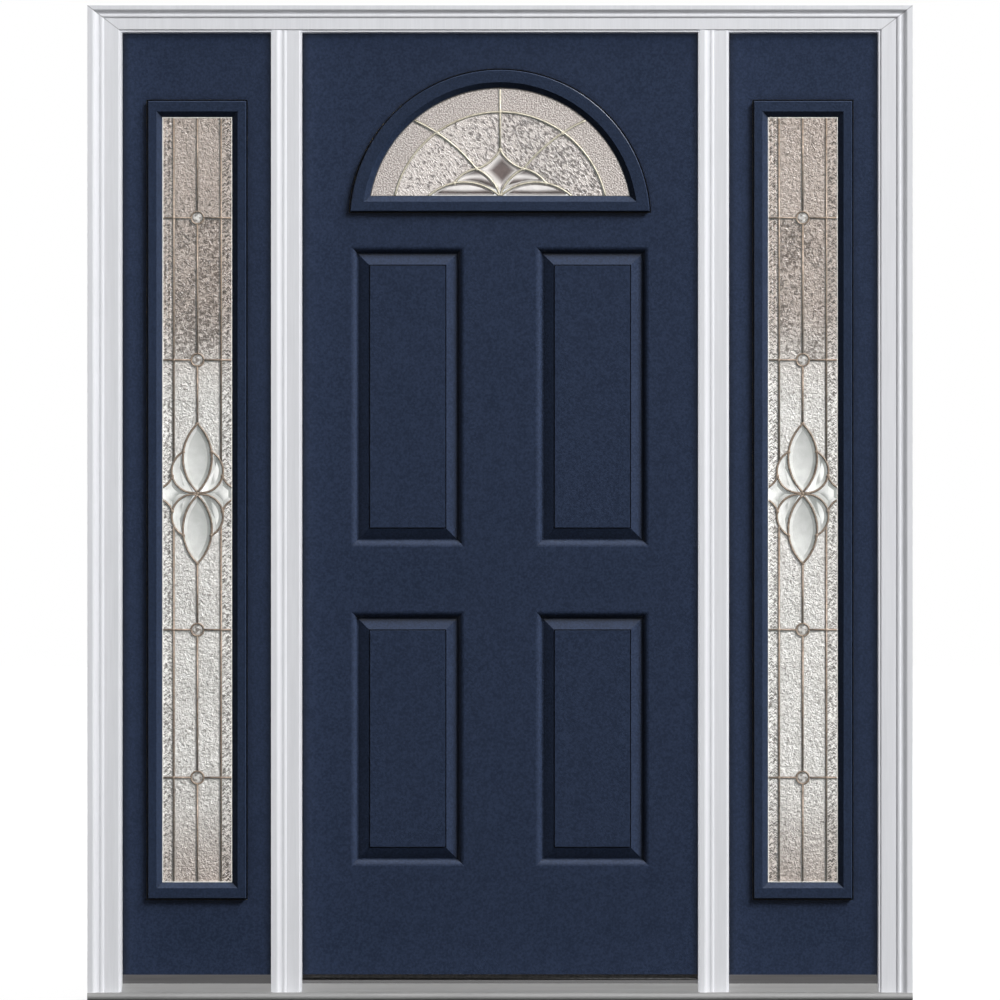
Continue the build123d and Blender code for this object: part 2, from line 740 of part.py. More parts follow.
# Sidelight panels: a core between two steel skins, with the tall light let through
for name, centre in (("left_sidelight", -panel_centre), ("right_sidelight", panel_centre)):
    x0, x1 = centre - SIDELIGHT_WIDTH / 2, centre + SIDELIGHT_WIDTH / 2
    frame_line = lambda inset, c=centre: tall_frame(c, inset)
    glass_line = lambda inset, c=centre: tall_glass(c, inset)
    make_light(name, frame_line, glass_line, sidelight_pattern(centre), panel_front, panel_back)
    with BuildPart() as core:
        block(x0, x1, panel_front + SKIN, panel_back - SKIN, slab_bottom, panel_top)
        light_opening(frame_line, panel_front, panel_back)
    keep(core, name + "_core")
    for label, y in (("_outer_skin", panel_front), ("_inner_skin", panel_back - SKIN)):
        with BuildPart() as skin:
            block(x0, x1, y, y + SKIN, slab_bottom, panel_top)
            extrude(at(y, frame_line(-SHADOW_GAP)), amount=-SKIN, mode=Mode.SUBTRACT)
        keep(skin, name + label)

# Door slab: stiles and rails round a core, steel skins pressed with four raised panels
panel_places = []
for bottom, top in (upper_panel, lower_panel):
    for side in (-1, 1):
        panel_places.append((side * (PANEL_SPACING + PANEL_WIDTH) / 2, bottom, top))

latch_slope = math.tan(math.radians(LATCH_BEVEL_DEG))


def latch_edge(y):
    """Place of the bevelled latch edge at depth y."""
    return half_slab - (slab_back - y) * latch_slope


def press_profile(x, low, face, out):
    """Section through the pressed border of a panel: ovolo, groove, long bevel, quirk, one sheet thick."""

    def q(u, d):
        return (u, -out * d)

    plane = Plane(origin=(x, face, low), x_dir=(0, 0, 1), z_dir=(1, 0, 0))
    t = SKIN
    deep = PRESS_DEPTH
    ovolo = (0.607 * OVOLO_WIDTH, 0.325 * deep)
    run = [
        (OVOLO_WIDTH, deep),
        (OVOLO_WIDTH + GROOVE_WIDTH, deep),
        (PANEL_BORDER - QUIRK_WIDTH, FIELD_DEPTH + BEVEL_STEP),
        (PANEL_BORDER - 0.68 * QUIRK_WIDTH, FIELD_DEPTH + QUIRK_DEPTH),
        (PANEL_BORDER - 0.28 * QUIRK_WIDTH, FIELD_DEPTH + QUIRK_DEPTH),
        (PANEL_BORDER, FIELD_DEPTH),
    ]
    with BuildSketch(plane) as s:
        with BuildLine():
            ThreePointArc(q(0, 0), q(*ovolo), q(*run[0]))
            Polyline(*[q(u, d) for u, d in run])
            Line(q(PANEL_BORDER, FIELD_DEPTH), q(PANEL_BORDER, FIELD_DEPTH + t))
            Polyline(*[q(u, d + t) for u, d in reversed(run)])
            ThreePointArc(q(OVOLO_WIDTH, deep + t), q(ovolo[0], ovolo[1] + t), q(0, t))
            Line(q(0, t), q(0, 0))
        make_face()
    return s.sketch


def pressed_skin(face, out, edge):
    """Steel face of the slab: flat sheet, hole for the fanlight, four pressed panels, hinge notches."""
    sheet = sorted((face, face + out * SKIN))
    with BuildPart() as skin:
        block(-half_slab, edge, *sheet, slab_bottom, slab_top)
        extrude(at(sheet[0], fan_frame(-SHADOW_GAP)), amount=-SKIN, mode=Mode.SUBTRACT)
        half = PANEL_WIDTH / 2
        for x, low, high in panel_places:
            block(x - half, x + half, *sheet, low, high, mode=Mode.SUBTRACT)
        for x, low, high in panel_places:
            with BuildLine(elevation(face)) as border:
                Polyline((x, low), (x + half, low), (x + half, high), (x - half, high), (x - half, low),
                         (x, low))
            sweep(press_profile(x, low, face, out), path=border.wires()[0], transition=Transition.RIGHT)
            field = sorted((face + out * FIELD_DEPTH, face + out * (FIELD_DEPTH + SKIN)))
            block(x - half + PANEL_BORDER, x + half - PANEL_BORDER, *field,
                  low + PANEL_BORDER, high - PANEL_BORDER)
        if out < 0:
            extrude(leaf_face(-half_slab, MORTISE_GAP), amount=LEAF + MORTISE_GAP, mode=Mode.SUBTRACT)
    return skin


keep(pressed_skin(slab_front, 1, latch_edge(slab_front)), "door_outer_skin")
keep(pressed_skin(slab_back, -1, latch_edge(slab_back - SKIN)), "door_inner_skin")

core_front = slab_front + SKIN
core_back = slab_back - SKIN
inside = half_slab - STILE_WIDTH
core_split = fan_frame_base - FAN_RAIL / 2
with BuildPart() as door_core_lower:
    block(-inside, inside, core_front, core_back, slab_bottom + RAIL_HEIGHT, core_split)
    pocket = PRESS_DEPTH + SKIN + CELL_GAP
    half = PANEL_WIDTH / 2 + CELL_GAP
    for x, low, high in panel_places:
        block(x - half, x + half, slab_front, slab_front + pocket, low - CELL_GAP, high + CELL_GAP,
              mode=Mode.SUBTRACT)
        block(x - half, x + half, slab_back - pocket, slab_back, low - CELL_GAP, high + CELL_GAP,
              mode=Mode.SUBTRACT)
keep(door_core_lower, "door_core_lower")

with BuildPart() as door_core_upper:
    block(-inside, inside, core_front, core_back, core_split, slab_top - RAIL_HEIGHT)
    light_opening(fan_frame, slab_front, slab_back)
keep(door_core_upper, "door_core_upper")

with BuildPart() as door_hinge_stile:
    block(-half_slab, -inside, core_front, core_back, slab_bottom, slab_top)
    extrude(leaf_face(-half_slab, MORTISE_GAP), amount=LEAF, mode=Mode.SUBTRACT)
keep(door_hinge_stile, "door_hinge_stile")

with BuildPart() as door_latch_stile:
    latch_section = outline(
        [
            (inside, core_front),
            (latch_edge(core_front), core_front),
            (latch_edge(core_back), core_back),
            (inside, core_back),
        ],
        Plane.XY.offset(slab_bottom),
    )
    extrude(latch_section, amount=SLAB_HEIGHT)
keep(door_latch_stile, "door_latch_stile")

with BuildPart() as door_rails:
    block(-inside, inside, core_front, core_back, slab_bottom, slab_bottom + RAIL_HEIGHT)
    block(-inside, inside, core_front, core_back, slab_top - RAIL_HEIGHT, slab_top)
keep(door_rails, "door_rails")

sweep_low = cap_top + SWEEP_CLEARANCE
with BuildPart() as door_sweep:
    sweep_front, sweep_back = slab_front + SWEEP_INSET, slab_back - SWEEP_INSET
    ends = (-half_slab + SWEEP_END_GAP, latch_edge(sweep_front) - SWEEP_END_GAP)
    block(*ends, sweep_front, sweep_back, slab_bottom - SWEEP_PLATE, slab_bottom)
    pitch = (sweep_back - sweep_front - SWEEP_FIN) / (SWEEP_FINS - 1)
    for k in range(SWEEP_FINS):
        y = sweep_front + k * pitch
        block(*ends, y, y + SWEEP_FIN, sweep_low, slab_bottom)
keep(door_sweep, "door_sweep")
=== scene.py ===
"""Looks of a steel front door with leaded lights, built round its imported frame.

Metres, +Z up, the street at -Y.
"""

import json
import math

import bpy
import numpy as np
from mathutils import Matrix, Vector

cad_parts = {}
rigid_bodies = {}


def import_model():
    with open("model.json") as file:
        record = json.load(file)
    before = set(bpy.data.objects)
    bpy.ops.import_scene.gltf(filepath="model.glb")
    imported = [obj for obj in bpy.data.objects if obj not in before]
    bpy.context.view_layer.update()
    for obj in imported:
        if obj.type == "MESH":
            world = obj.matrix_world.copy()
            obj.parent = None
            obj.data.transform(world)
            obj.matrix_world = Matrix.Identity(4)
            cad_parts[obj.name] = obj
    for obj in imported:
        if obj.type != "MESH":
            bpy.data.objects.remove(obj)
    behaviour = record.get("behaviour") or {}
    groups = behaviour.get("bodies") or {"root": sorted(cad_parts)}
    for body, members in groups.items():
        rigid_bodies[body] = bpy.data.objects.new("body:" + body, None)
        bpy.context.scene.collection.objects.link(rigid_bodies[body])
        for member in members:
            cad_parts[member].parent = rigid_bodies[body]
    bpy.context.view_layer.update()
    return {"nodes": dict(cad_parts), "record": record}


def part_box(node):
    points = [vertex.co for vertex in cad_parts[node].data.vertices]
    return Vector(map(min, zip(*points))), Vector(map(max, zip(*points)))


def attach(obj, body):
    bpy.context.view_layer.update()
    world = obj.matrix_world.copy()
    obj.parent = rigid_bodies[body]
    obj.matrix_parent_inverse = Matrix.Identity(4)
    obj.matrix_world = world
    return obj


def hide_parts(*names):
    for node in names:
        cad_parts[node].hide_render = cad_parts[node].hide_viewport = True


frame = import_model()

# Leaded lights: sizes that the solids have too
CLUSTER_HEIGHT = 1.076
CELL_MARGIN = 0.0018
EDGE_LAP = 0.0015
BORDER_STRIP = 0.024
ROW_SHARES = (0.672, 0.208)
JEWEL_RADIUS = 0.0135
CAME_WIDTH = 0.005
FAN_CENTRE = 1.66
FAN_GLASS_RADIUS = 0.2815
FAN_GLASS_BASE = 1.7105
FAN_CAME_RADIUS = 0.2305

# Came beads, solder, bevels and jewels: forms of the scene alone
BEAD_WIDTH = 0.0038
CAME_RISE = 0.0017
SOLDER_RADIUS = 0.0042
SOLDER_RISE = 0.0021
SOLDER_TOP = 0.42 * math.pi
CELL_GAP = 0.0003
GLASS_GAP = CAME_WIDTH / 2 + CELL_GAP
BEVEL_WIDTH = 0.0065
FAN_BEVEL_WIDTH = 0.0032
BEVEL_RISE = 0.0014
DOME_RISE = 0.0012
DOME_HOLE = 0.02
GIRDLE_DROP = 0.0026
CROWN_DROP = 0.0008
CROWN_SHARE = 0.74
TABLE_SHARE = 0.4

# Painted light on the bevels: the way that catches it, and how wide a painted glint is in shares of a piece
CATCH_ANGLE = math.radians(35)
CATCH_RANGE = (-0.7, 0.4)
PAINTED_SLOPE_LEAST = 0.05
GLINT_WIDTH = 0.13

# Soft fins of the sweep
FINS = 4
FIN_THICK = 0.0012
FIN_BOW = 0.0022
FIN_MARGINS = (0.004, 0.006)
FIN_CLEARANCE = 0.0006

# Steps of curves, rings and searches
ARC_STEPS = 28
LONG_ARC_STEPS = 60
RIM_STEPS = 120
HALVINGS = 22
BEAD_STEPS = 7
SOLDER_SIDES = 14
SOLDER_RINGS = 5
DOME_RINGS = 9
JEWEL_SIDES = 12
JEWEL_CAME_STEPS = 41
FIN_STEPS = 9
TINY = 1e-12
EDGE_SLACK = 1e-6

# Paint and glass: reach of the painted shade in a groove; the casing's mitre, from its outer to its inner
# corner, and its line; the heights between which a sidelight grows paler, and those between which it darkens
# again
GROOVE_REACH = 0.018
MITRE = (0.8755, 2.112), (0.8075, 2.06)
MITRE_LINE = (0.0004, 0.0012)
PALE_FOOT = (0.2, 0.5)
PALE_TOP = (1.25, 1.5)

# Studio
AIM = np.array([0.0, 0.0, 1.06])
LAMP_DISTANCE = 20.0
FLOOR_REACH = 40.0
FLOOR_GREY = (0.24, 0.24, 0.24, 1.0)
WHITE = (1, 1, 1, 1)
AMBIENT = 0.085
VIEW_DISTANCE = 20.0
VIEW_HEIGHT = 2.125
SENSOR_WIDTH = 36.0
VIEW_END = 100.0


def linear(*rgb):
    """Scene colour of a display colour given in 0 to 255."""
    share = np.array(rgb) / 255
    value = np.where(share <= 0.04045, share / 12.92, ((share + 0.055) / 1.055) ** 2.4)
    return (*value.tolist(), 1.0)


# Outlines in the plane of the glass, as arrays of (x, z)
def around(steps):
    """Angles of equal steps round a circle."""
    return np.linspace(0, 2 * math.pi, steps, endpoint=False)


def cross(first, second):
    """Cross product of vectors in the plane."""
    return first[..., 0] * second[..., 1] - first[..., 1] * second[..., 0]


def circle_centre(a, b, c):
    """Centre of the circle through three points: as far from the second and third as from the first."""
    return np.linalg.solve(2 * np.array([b - a, c - a]), np.array([b @ b - a @ a, c @ c - a @ a]))


def arc(start, middle, end, steps=ARC_STEPS):
    """Circle through three points, from the first to the last by way of the second, in equal angles."""
    a, b, c = (np.array(point, float) for point in (start, middle, end))
    centre = circle_centre(a, b, c)
    first, mid, last = (math.atan2(*(point - centre)[::-1]) for point in (a, b, c))
    turn = (last - first) % (2 * math.pi)
    if (mid - first) % (2 * math.pi) > turn:
        turn -= 2 * math.pi
    angle = first + turn * np.linspace(0, 1, steps)
    return centre + np.linalg.norm(a - centre) * np.stack([np.cos(angle), np.sin(angle)], axis=1)


def straight(start, end):
    """Straight run between two points."""
    return np.array([start, end], float)


def inset(outline, middle, distance):
    """On each ray from the middle, the furthest point that lies a distance inside the outline, by halving."""
    middle = np.array(middle)
    angle = around(RIM_STEPS)
    ray = np.stack([np.cos(angle), np.sin(angle)], axis=1)
    run = np.roll(outline, -1, axis=0) - outline
    length = np.maximum((run**2).sum(1), TINY)
    # Where each ray leaves the outline
    offset = outline[None] - middle
    spread = cross(ray[:, None], run[None])
    spread = np.where(np.abs(spread) < TINY, TINY, spread)
    reach = cross(offset, run[None]) / spread
    share = cross(offset, ray[:, None]) / spread
    hit = np.where((reach > 0) & (share >= -EDGE_SLACK) & (share <= 1 + EDGE_SLACK), reach, np.inf)
    low, high = np.zeros(RIM_STEPS), hit.min(1)
    for _ in range(HALVINGS):
        half = (low + high) / 2
        point = middle + ray * half[:, None]
        along = ((point[:, None] - outline[None]) * run[None]).sum(-1) / length[None]
        near = outline[None] + np.clip(along, 0, 1)[..., None] * run[None]
        clear = np.sqrt(((point[:, None] - near) ** 2).sum(-1)).min(1) >= distance
        low, high = np.where(clear, half, low), np.where(clear, high, half)
    return middle + ray * low[:, None]


# Meshes
def joined(parts):
    """Several (points, faces) pairs as one."""
    points, faces, base = [], [], 0
    for part_points, part_faces in parts:
        points.append(part_points)
        faces += [[base + k for k in face] for face in part_faces]
        base += len(part_points)
    return np.concatenate(points), faces


def ring_faces(rings, sides):
    """Quads between closed rings of points that follow each other."""
    r, c = np.meshgrid(np.arange(rings - 1), np.arange(sides), indexing="ij")
    d = (c + 1) % sides
    quads = np.stack([r * sides + c, r * sides + d, (r + 1) * sides + d, (r + 1) * sides + c], -1)
    return quads.reshape(-1, 4).tolist()


def tube_faces(rings, sides, out=1):
    """Quads between closed rings and a face over each end, all turned over where out is -1."""
    ends = [list(range(sides))[::-1], list(range((rings - 1) * sides, rings * sides))]
    faces = ring_faces(rings, sides) + ends
    return faces if out > 0 else [face[::-1] for face in faces]


def lead_bead(path, face, out):
    """Rounded came: a half ellipse with a flat back, carried along a line on the glass, both ends capped."""
    along = np.gradient(path, axis=0)
    along /= np.linalg.norm(along, axis=1, keepdims=True)
    side = np.stack([-along[:, 1], along[:, 0]], axis=1)
    turn = np.linspace(0, math.pi, BEAD_STEPS)
    wide = np.cos(turn) * BEAD_WIDTH / 2
    rise = np.sin(turn) * CAME_RISE
    flat = path[:, None] + side[:, None] * wide[None, :, None]
    depth = np.broadcast_to(face - out * rise, flat.shape[:2])
    points = np.stack([flat[..., 0], depth, flat[..., 1]], axis=-1).reshape(-1, 3)
    return points, tube_faces(len(path), BEAD_STEPS, out)


def solder_dot(centre, face, out):
    """Low dome of solder on a joint: rings of a flattened sphere about its middle."""
    turn = around(SOLDER_SIDES)
    lift = np.linspace(0, SOLDER_TOP, SOLDER_RINGS)
    radius = SOLDER_RADIUS * np.cos(lift)
    rise = SOLDER_RISE * np.sin(lift)
    x = centre[0] + radius[:, None] * np.cos(turn)
    z = centre[1] + radius[:, None] * np.sin(turn)
    y = np.broadcast_to((face - out * rise)[:, None], x.shape)
    points = np.stack([x, y, z], axis=-1).reshape(-1, 3)
    return points, tube_faces(SOLDER_RINGS, SOLDER_SIDES, out)


def step(value, low, high):
    """Smooth step from 0 to 1 between two values."""
    share = np.clip((value - low) / (high - low), 0, 1)
    return share * share * (3 - 2 * share)


def glint(offset):
    """Painted highlight: a streak of light that falls off to both sides of its line as a bell curve."""
    return np.exp(-((offset / GLINT_WIDTH) ** 2))


# Painted highlight and shade on a table, by its kind: across and rise go from 0 to 1 over the piece, side is
# -1 or 1
PAINTED_TABLE_LIGHT = {
    "leaf": lambda across, rise, side: step(rise - 0.25 * np.abs(across - 0.5), 0.18, 0.55),
    "petal": lambda across, rise, side: glint(rise - 0.68 + 0.9 * (across - 0.45) ** 2),
    "star": lambda across, rise, side: step(np.abs(2 * across - 1.1) + np.abs(2 * rise - 1.1), 0.4, 1.0),
    "lens": lambda across, rise, side: 0.34 + 0.42 * step(across * 0.6 + rise * 0.7, 1.0, 0.25),
    "crescent": lambda across, rise, side: 1 - 0.75 * glint(across - 0.5 + 0.3 * (rise - 0.5)),
    "point": lambda across, rise, side: (
        0.2 + 0.8 * step(side * (across - 0.5) + 0.8 * (rise - 0.5), -0.15, 0.2)),
}


def bevel_glass(outline, middle, kind, front, back, width):
    """Bevelled glass: flat back, thin rim inside the came, slope up to a table domed towards its middle.

    Each ring is the outline drawn in by its own distance, then shrunk to the middle; rings meet in creases,
    so the rim, the slope and the table have their own points. Also given: the painted light of every point,
    a painted highlight or shade which follows the way a slope faces and, on the table, the kind of piece.
    """
    rim = inset(outline, middle, GLASS_GAP)
    table = inset(outline, middle, GLASS_GAP + width)
    count = len(rim)
    shares = np.linspace(1, DOME_HOLE, DOME_RINGS)

    def ring(flat, depth):
        return np.stack([flat[:, 0], np.full(count, depth), flat[:, 1]], axis=1)

    shoulder = front + BEVEL_RISE
    dome = [ring(np.array(middle) + (table - middle) * s, front - DOME_RISE * (1 - s * s)) for s in shares]
    bands = [[ring(rim, back), ring(rim, shoulder)], [ring(rim, shoulder), ring(table, front)], dome]
    parts = [(np.concatenate(band), ring_faces(len(band), count)) for band in bands]
    parts[-1][1].append([(DOME_RINGS - 1) * count + k for k in range(count)])
    parts.append((ring(rim, back), [list(range(count))[::-1]]))
    points, faces = joined(parts)
    low, high = rim.min(0), rim.max(0)
    across, rise = ((points[:, axis] - low[k]) / (high - low)[k] for k, axis in enumerate((0, 2)))
    along = np.roll(rim, -1, axis=0) - np.roll(rim, 1, axis=0)
    facing = np.arctan2(-along[:, 0], along[:, 1])
    # Painted highlight and shade on the slopes: light where a slope faces the catching way, dark where it
    # faces away
    caught = PAINTED_SLOPE_LEAST + (1 - PAINTED_SLOPE_LEAST) * step(-np.cos(facing - CATCH_ANGLE), *CATCH_RANGE)
    slope = np.tile(caught, len(points) // count)
    # The first four rings are those of the rim and the slope
    on_table = np.arange(len(points)) >= 4 * count
    side = 1 if middle[0] > (low[0] + high[0]) / 2 else -1
    return points, faces, np.where(on_table, PAINTED_TABLE_LIGHT[kind](across, rise, side), slope)


def cut_jewel(centre, front, back):
    """Faceted round jewel: a girdle, two turned rings of facets and a small table, twelve sides each."""
    sides = JEWEL_SIDES
    radius = JEWEL_RADIUS - GLASS_GAP
    # Radius, depth and turn in shares of a side
    levels = [
        (radius, back, 0), (radius, front + GIRDLE_DROP, 0),
        (CROWN_SHARE * radius, front + CROWN_DROP, 0.5), (TABLE_SHARE * radius, front, 0),
    ]
    rings = []
    for size, depth, shift in levels:
        angle = around(sides) + shift * 2 * math.pi / sides
        x = centre[0] + size * np.cos(angle)
        z = centre[1] + size * np.sin(angle)
        rings.append(np.stack([x, np.full(sides, depth), z], axis=1))
    points = np.concatenate(rings)
    faces = ring_faces(2, sides)
    for level, shift in ((1, 0), (2, 1)):
        low, high = level * sides, (level + 1) * sides
        k = np.arange(sides)
        here, after = (k + shift) % sides, (k + shift + 1) % sides
        faces += np.stack([low + k, low + (k + 1) % sides, high + here], -1).tolist()
        faces += np.stack([low + (k + 1) % sides, high + after, high + here], -1).tolist()
    faces += [list(range(sides))[::-1], list(range(3 * sides, 4 * sides))]
    return points, faces


def facet_painted_light(mesh, jewels):
    """Painted light on facets, highlight and shade by turns: a cosine of three turns round the jewel and of
    the reach.
    """
    middles = np.empty(3 * len(mesh.polygons))
    mesh.polygons.foreach_get("center", middles)
    middles = middles.reshape(-1, 3)
    jewels = np.array(jewels)
    near = np.argmin(np.abs(middles[:, 2, None] - jewels[None, :, 1]), axis=1)
    offset = middles[:, (0, 2)] - jewels[near]
    turn = np.arctan2(offset[:, 1], offset[:, 0])
    reach = np.hypot(offset[:, 0], offset[:, 1]) / JEWEL_RADIUS
    return np.clip(0.6 + 0.5 * np.cos(3 * turn + 7 * reach), 0, 1)


def sweep_fins():
    """Thin rubber fins, bent down to just above the threshold cap: a bowed section drawn along the sweep."""
    low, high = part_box("door_sweep")
    floor_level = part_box("threshold_cap")[1].z + FIN_CLEARANCE
    share = np.linspace(0, 1, FIN_STEPS)
    height = low.z + (floor_level - low.z) * share
    bow = FIN_BOW * share**2
    parts = []
    for place in np.linspace(low.y + FIN_MARGINS[0], high.y - FIN_MARGINS[1], FINS):
        front = np.stack([place + bow, height], axis=1)
        back = np.stack([place + bow + FIN_THICK, height], axis=1)
        section = np.concatenate([front, back[::-1]])
        ends = [np.column_stack([np.full(len(section), x), section]) for x in (low.x, high.x)]
        parts.append((np.concatenate(ends), tube_faces(2, len(section))))
    return joined(parts)


def piece(name, part, material, body, smooth=True):
    """A finished piece from points and faces, riding on a body."""
    points, faces = part
    mesh = bpy.data.meshes.new(name)
    mesh.from_pydata(points.tolist(), [], faces)
    mesh.polygons.foreach_set("use_smooth", np.full(len(mesh.polygons), smooth))
    mesh.materials.append(material)
    mesh.update()
    obj = bpy.data.objects.new(name, mesh)
    bpy.context.scene.collection.objects.link(obj)
    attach(obj, body)
    return obj


def set_painted_light(obj, domain, values):
    """Painted highlight and shade of a piece, kept by point or by face for its material."""
    obj.data.attributes.new("painted_light", "FLOAT", domain).data.foreach_set("value", values)


# Shader nodes
FLOAT, VECTOR = "NodeSocketFloat", "NodeSocketVector"


def add(tree, kind, settings=None, **inputs):
    """One shader node; an input is a plain value or another node's output."""
    made = tree.nodes.new(kind)
    for key, value in (settings or {}).items():
        setattr(made, key, value)
    for key, value in inputs.items():
        socket = made.inputs[int(key[1:])] if key[0] == "_" else made.inputs[key.replace("__", " ")]
        if isinstance(value, bpy.types.NodeSocket):
            tree.links.new(value, socket)
        else:
            socket.default_value = value
    return made


def drive(tree, node, **sources):
    """Outputs carried to a node's inputs; two underscores in a name stand for a space."""
    for key, source in sources.items():
        tree.links.new(source, node.inputs[key.replace("__", " ")])


def maths(tree, operation, first, second=0.0, third=0.0):
    """Result of one sum."""
    return add(tree, "ShaderNodeMath", {"operation": operation}, _0=first, _1=second, _2=third).outputs[0]


def vectors(tree, operation, *values):
    """Result of one sum on vectors."""
    inputs = {f"_{k}": value for k, value in enumerate(values)}
    return add(tree, "ShaderNodeVectorMath", {"operation": operation}, **inputs).outputs[0]


def split(tree, vector):
    """The x, y and z of a vector."""
    return add(tree, "ShaderNodeSeparateXYZ", None, Vector=vector).outputs


def ramp(tree, value, low, high, start=0.0, end=1.0):
    """Value carried smoothly from one range to another."""
    made = add(tree, "ShaderNodeMapRange", {"interpolation_type": "SMOOTHSTEP"}, Value=value)
    for key, number in (("From Min", low), ("From Max", high), ("To Min", start), ("To Max", end)):
        made.inputs[key].default_value = number
    return made.outputs[0]


def mixed(tree, share, first, second):
    """Two numbers mixed by a share."""
    return add(tree, "ShaderNodeMix", {"data_type": "FLOAT"}, _0=share, _2=first, _3=second).outputs[0]


def blend(tree, share, first, second, mode="MIX"):
    """Two colours mixed by a share."""
    settings = {"data_type": "RGBA", "blend_type": mode}
    return add(tree, "ShaderNodeMix", settings, _0=share, _6=first, _7=second).outputs[2]


def toned(tree, color, shade, low, high):
    """Colour made darker or lighter by a shade in the middle of 0 to 1."""
    tone = ramp(tree, shade, 0.3, 0.7, low, high)
    grey = add(tree, "ShaderNodeCombineColor", None, Red=tone, Green=tone, Blue=tone).outputs[0]
    return blend(tree, 1.0, color, grey, "MULTIPLY")


def noise(tree, vector, scale, detail=2.0, rough=0.5, distort=0.0, output=0):
    """Cloudy noise in 0 to 1; its second output is a noise of vectors."""
    made = add(tree, "ShaderNodeTexNoise", None, Vector=vector, Scale=scale, Detail=detail, Roughness=rough,
               Distortion=distort)
    return made.outputs[output]


# Groups that materials share
def group(name, outputs, **values):
    """An empty shader group: a vector and named values go in, named numbers come out."""
    tree = bpy.data.node_groups.new(name, "ShaderNodeTree")
    tree.interface.new_socket("Vector", in_out="INPUT", socket_type=VECTOR)
    for key, value in values.items():
        kind = VECTOR if isinstance(value, tuple) else FLOAT
        tree.interface.new_socket(key, in_out="INPUT", socket_type=kind).default_value = value
    for key in outputs:
        tree.interface.new_socket(key, in_out="OUTPUT", socket_type=FLOAT)
    return tree, tree.nodes.new("NodeGroupInput").outputs, tree.nodes.new("NodeGroupOutput")


def pebble_group():
    """Fine pebbled paint: small rounded lumps for height, and a slow cloudy shade."""
    tree, given, result = group("pebbled_paint", ["Height", "Shade"], Scale=420.0)
    height = noise(tree, given["Vector"], given["Scale"], 1.0)
    slow = noise(tree, given["Vector"], 30.0, 2.0, 0.6)
    quick = noise(tree, given["Vector"], 230.0, 1.0)
    shade = maths(tree, "MULTIPLY_ADD", quick, 0.8, maths(tree, "MULTIPLY", slow, 0.2))
    drive(tree, result, Height=height, Shade=shade)
    return tree


def dust_group():
    """Settled dust: faces that look up, broken by noise."""
    tree, given, result = group("settled_dust", ["Mask"], Amount=0.3)
    up = split(tree, add(tree, "ShaderNodeNewGeometry").outputs["Normal"])[2]
    patch = noise(tree, given["Vector"], 45.0, 2.0, 0.6)
    mask = maths(tree, "MULTIPLY", ramp(tree, up, 0.35, 0.95), ramp(tree, patch, 0.3, 0.75, 0.4, 1.0))
    drive(tree, result, Mask=maths(tree, "MULTIPLY", mask, given["Amount"]))
    return tree


def streak_group():
    """Drawn or brushed lines: noise stretched along one axis."""
    tree, given, result = group("drawn_streaks", ["Height", "Shade"], Stretch=(1.0, 1.0, 1.0))
    scaled = vectors(tree, "MULTIPLY", given["Vector"], given["Stretch"])
    fine = noise(tree, scaled, 1.0, 3.0, 0.65)
    broad = noise(tree, scaled, 0.22, 2.0)
    shade = maths(tree, "MULTIPLY_ADD", fine, 0.6, maths(tree, "MULTIPLY", broad, 0.4))
    drive(tree, result, Height=fine, Shade=shade)
    return tree


def chip_group():
    """Chipped glass: feathered flakes for shade and height, as thick as the density asks."""
    tree, given, result = group("chipped_glass", ["Flake", "Height"], Scale=95.0, Density=0.5)
    warp = noise(tree, given["Vector"], 60.0, 2.0, output=1)
    pushed = vectors(tree, "MULTIPLY_ADD", warp, (0.012, 0.012, 0.006), given["Vector"])
    body = noise(tree, pushed, given["Scale"], 3.0, 0.6, 0.6)
    level = maths(tree, "MULTIPLY_ADD", given["Density"], -0.26, 0.72)
    flake = maths(tree, "MULTIPLY", maths(tree, "SUBTRACT", body, level), 15.0)
    clamped = add(tree, "ShaderNodeClamp", None, Value=flake).outputs[0]
    fine = noise(tree, pushed, 420.0, 1.0, 0.6)
    height = maths(tree, "MULTIPLY_ADD", body, 1.4, maths(tree, "MULTIPLY", fine, 0.5))
    drive(tree, result, Flake=clamped, Height=height)
    return tree


def ripple_group():
    """Rolled glass: short wavy strokes, drawn out along one axis."""
    tree, given, result = group("rolled_ripple", ["Stroke", "Height"], Stretch=(170.0, 170.0, 420.0))
    warp = noise(tree, given["Vector"], 130.0, 1.0, output=1)
    pushed = vectors(tree, "MULTIPLY_ADD", warp, (0.0015, 0.0015, 0.002), given["Vector"])
    body = noise(tree, vectors(tree, "MULTIPLY", pushed, given["Stretch"]), 1.0, 3.0, 0.55)
    drive(tree, result, Stroke=ramp(tree, body, 0.44, 0.57), Height=body)
    return tree


def swirl_group():
    """Waved glass: noise drawn out into fine worm-like lines."""
    tree, given, result = group("waved_glass", ["Stroke", "Height"], Scale=92.0)
    body = noise(tree, given["Vector"], given["Scale"], 2.0, 0.6, 2.2)
    drive(tree, result, Stroke=ramp(tree, body, 0.42, 0.6), Height=body)
    return tree


GROUPS = {
    "pebble": pebble_group(), "dust": dust_group(), "streak": streak_group(), "chip": chip_group(),
    "ripple": ripple_group(), "swirl": swirl_group(),
}


def use(tree, name, **inputs):
    """A shared effect placed in a material with its own values."""
    return add(tree, "ShaderNodeGroup", {"node_tree": GROUPS[name]}, **inputs).outputs


# Materials
def finish(name, color, **sockets):
    """A new material with plain values on its shader: the material, its tree, shader and coordinates."""
    material = bpy.data.materials.new(name)
    material.use_nodes = True
    tree = material.node_tree
    shader = tree.nodes["Principled BSDF"]
    shader.inputs["Base Color"].default_value = color
    for key, value in sockets.items():
        shader.inputs[key.replace("__", " ")].default_value = value
    place = tree.nodes.new("ShaderNodeTexCoord").outputs["Object"]
    return material, tree, shader, place


def relief(tree, shader, height, strength, distance):
    """Height carried to the shader's normal."""
    bump = add(tree, "ShaderNodeBump", None, Height=height, Strength=strength, Distance=distance)
    drive(tree, shader, Normal=bump.outputs[0])


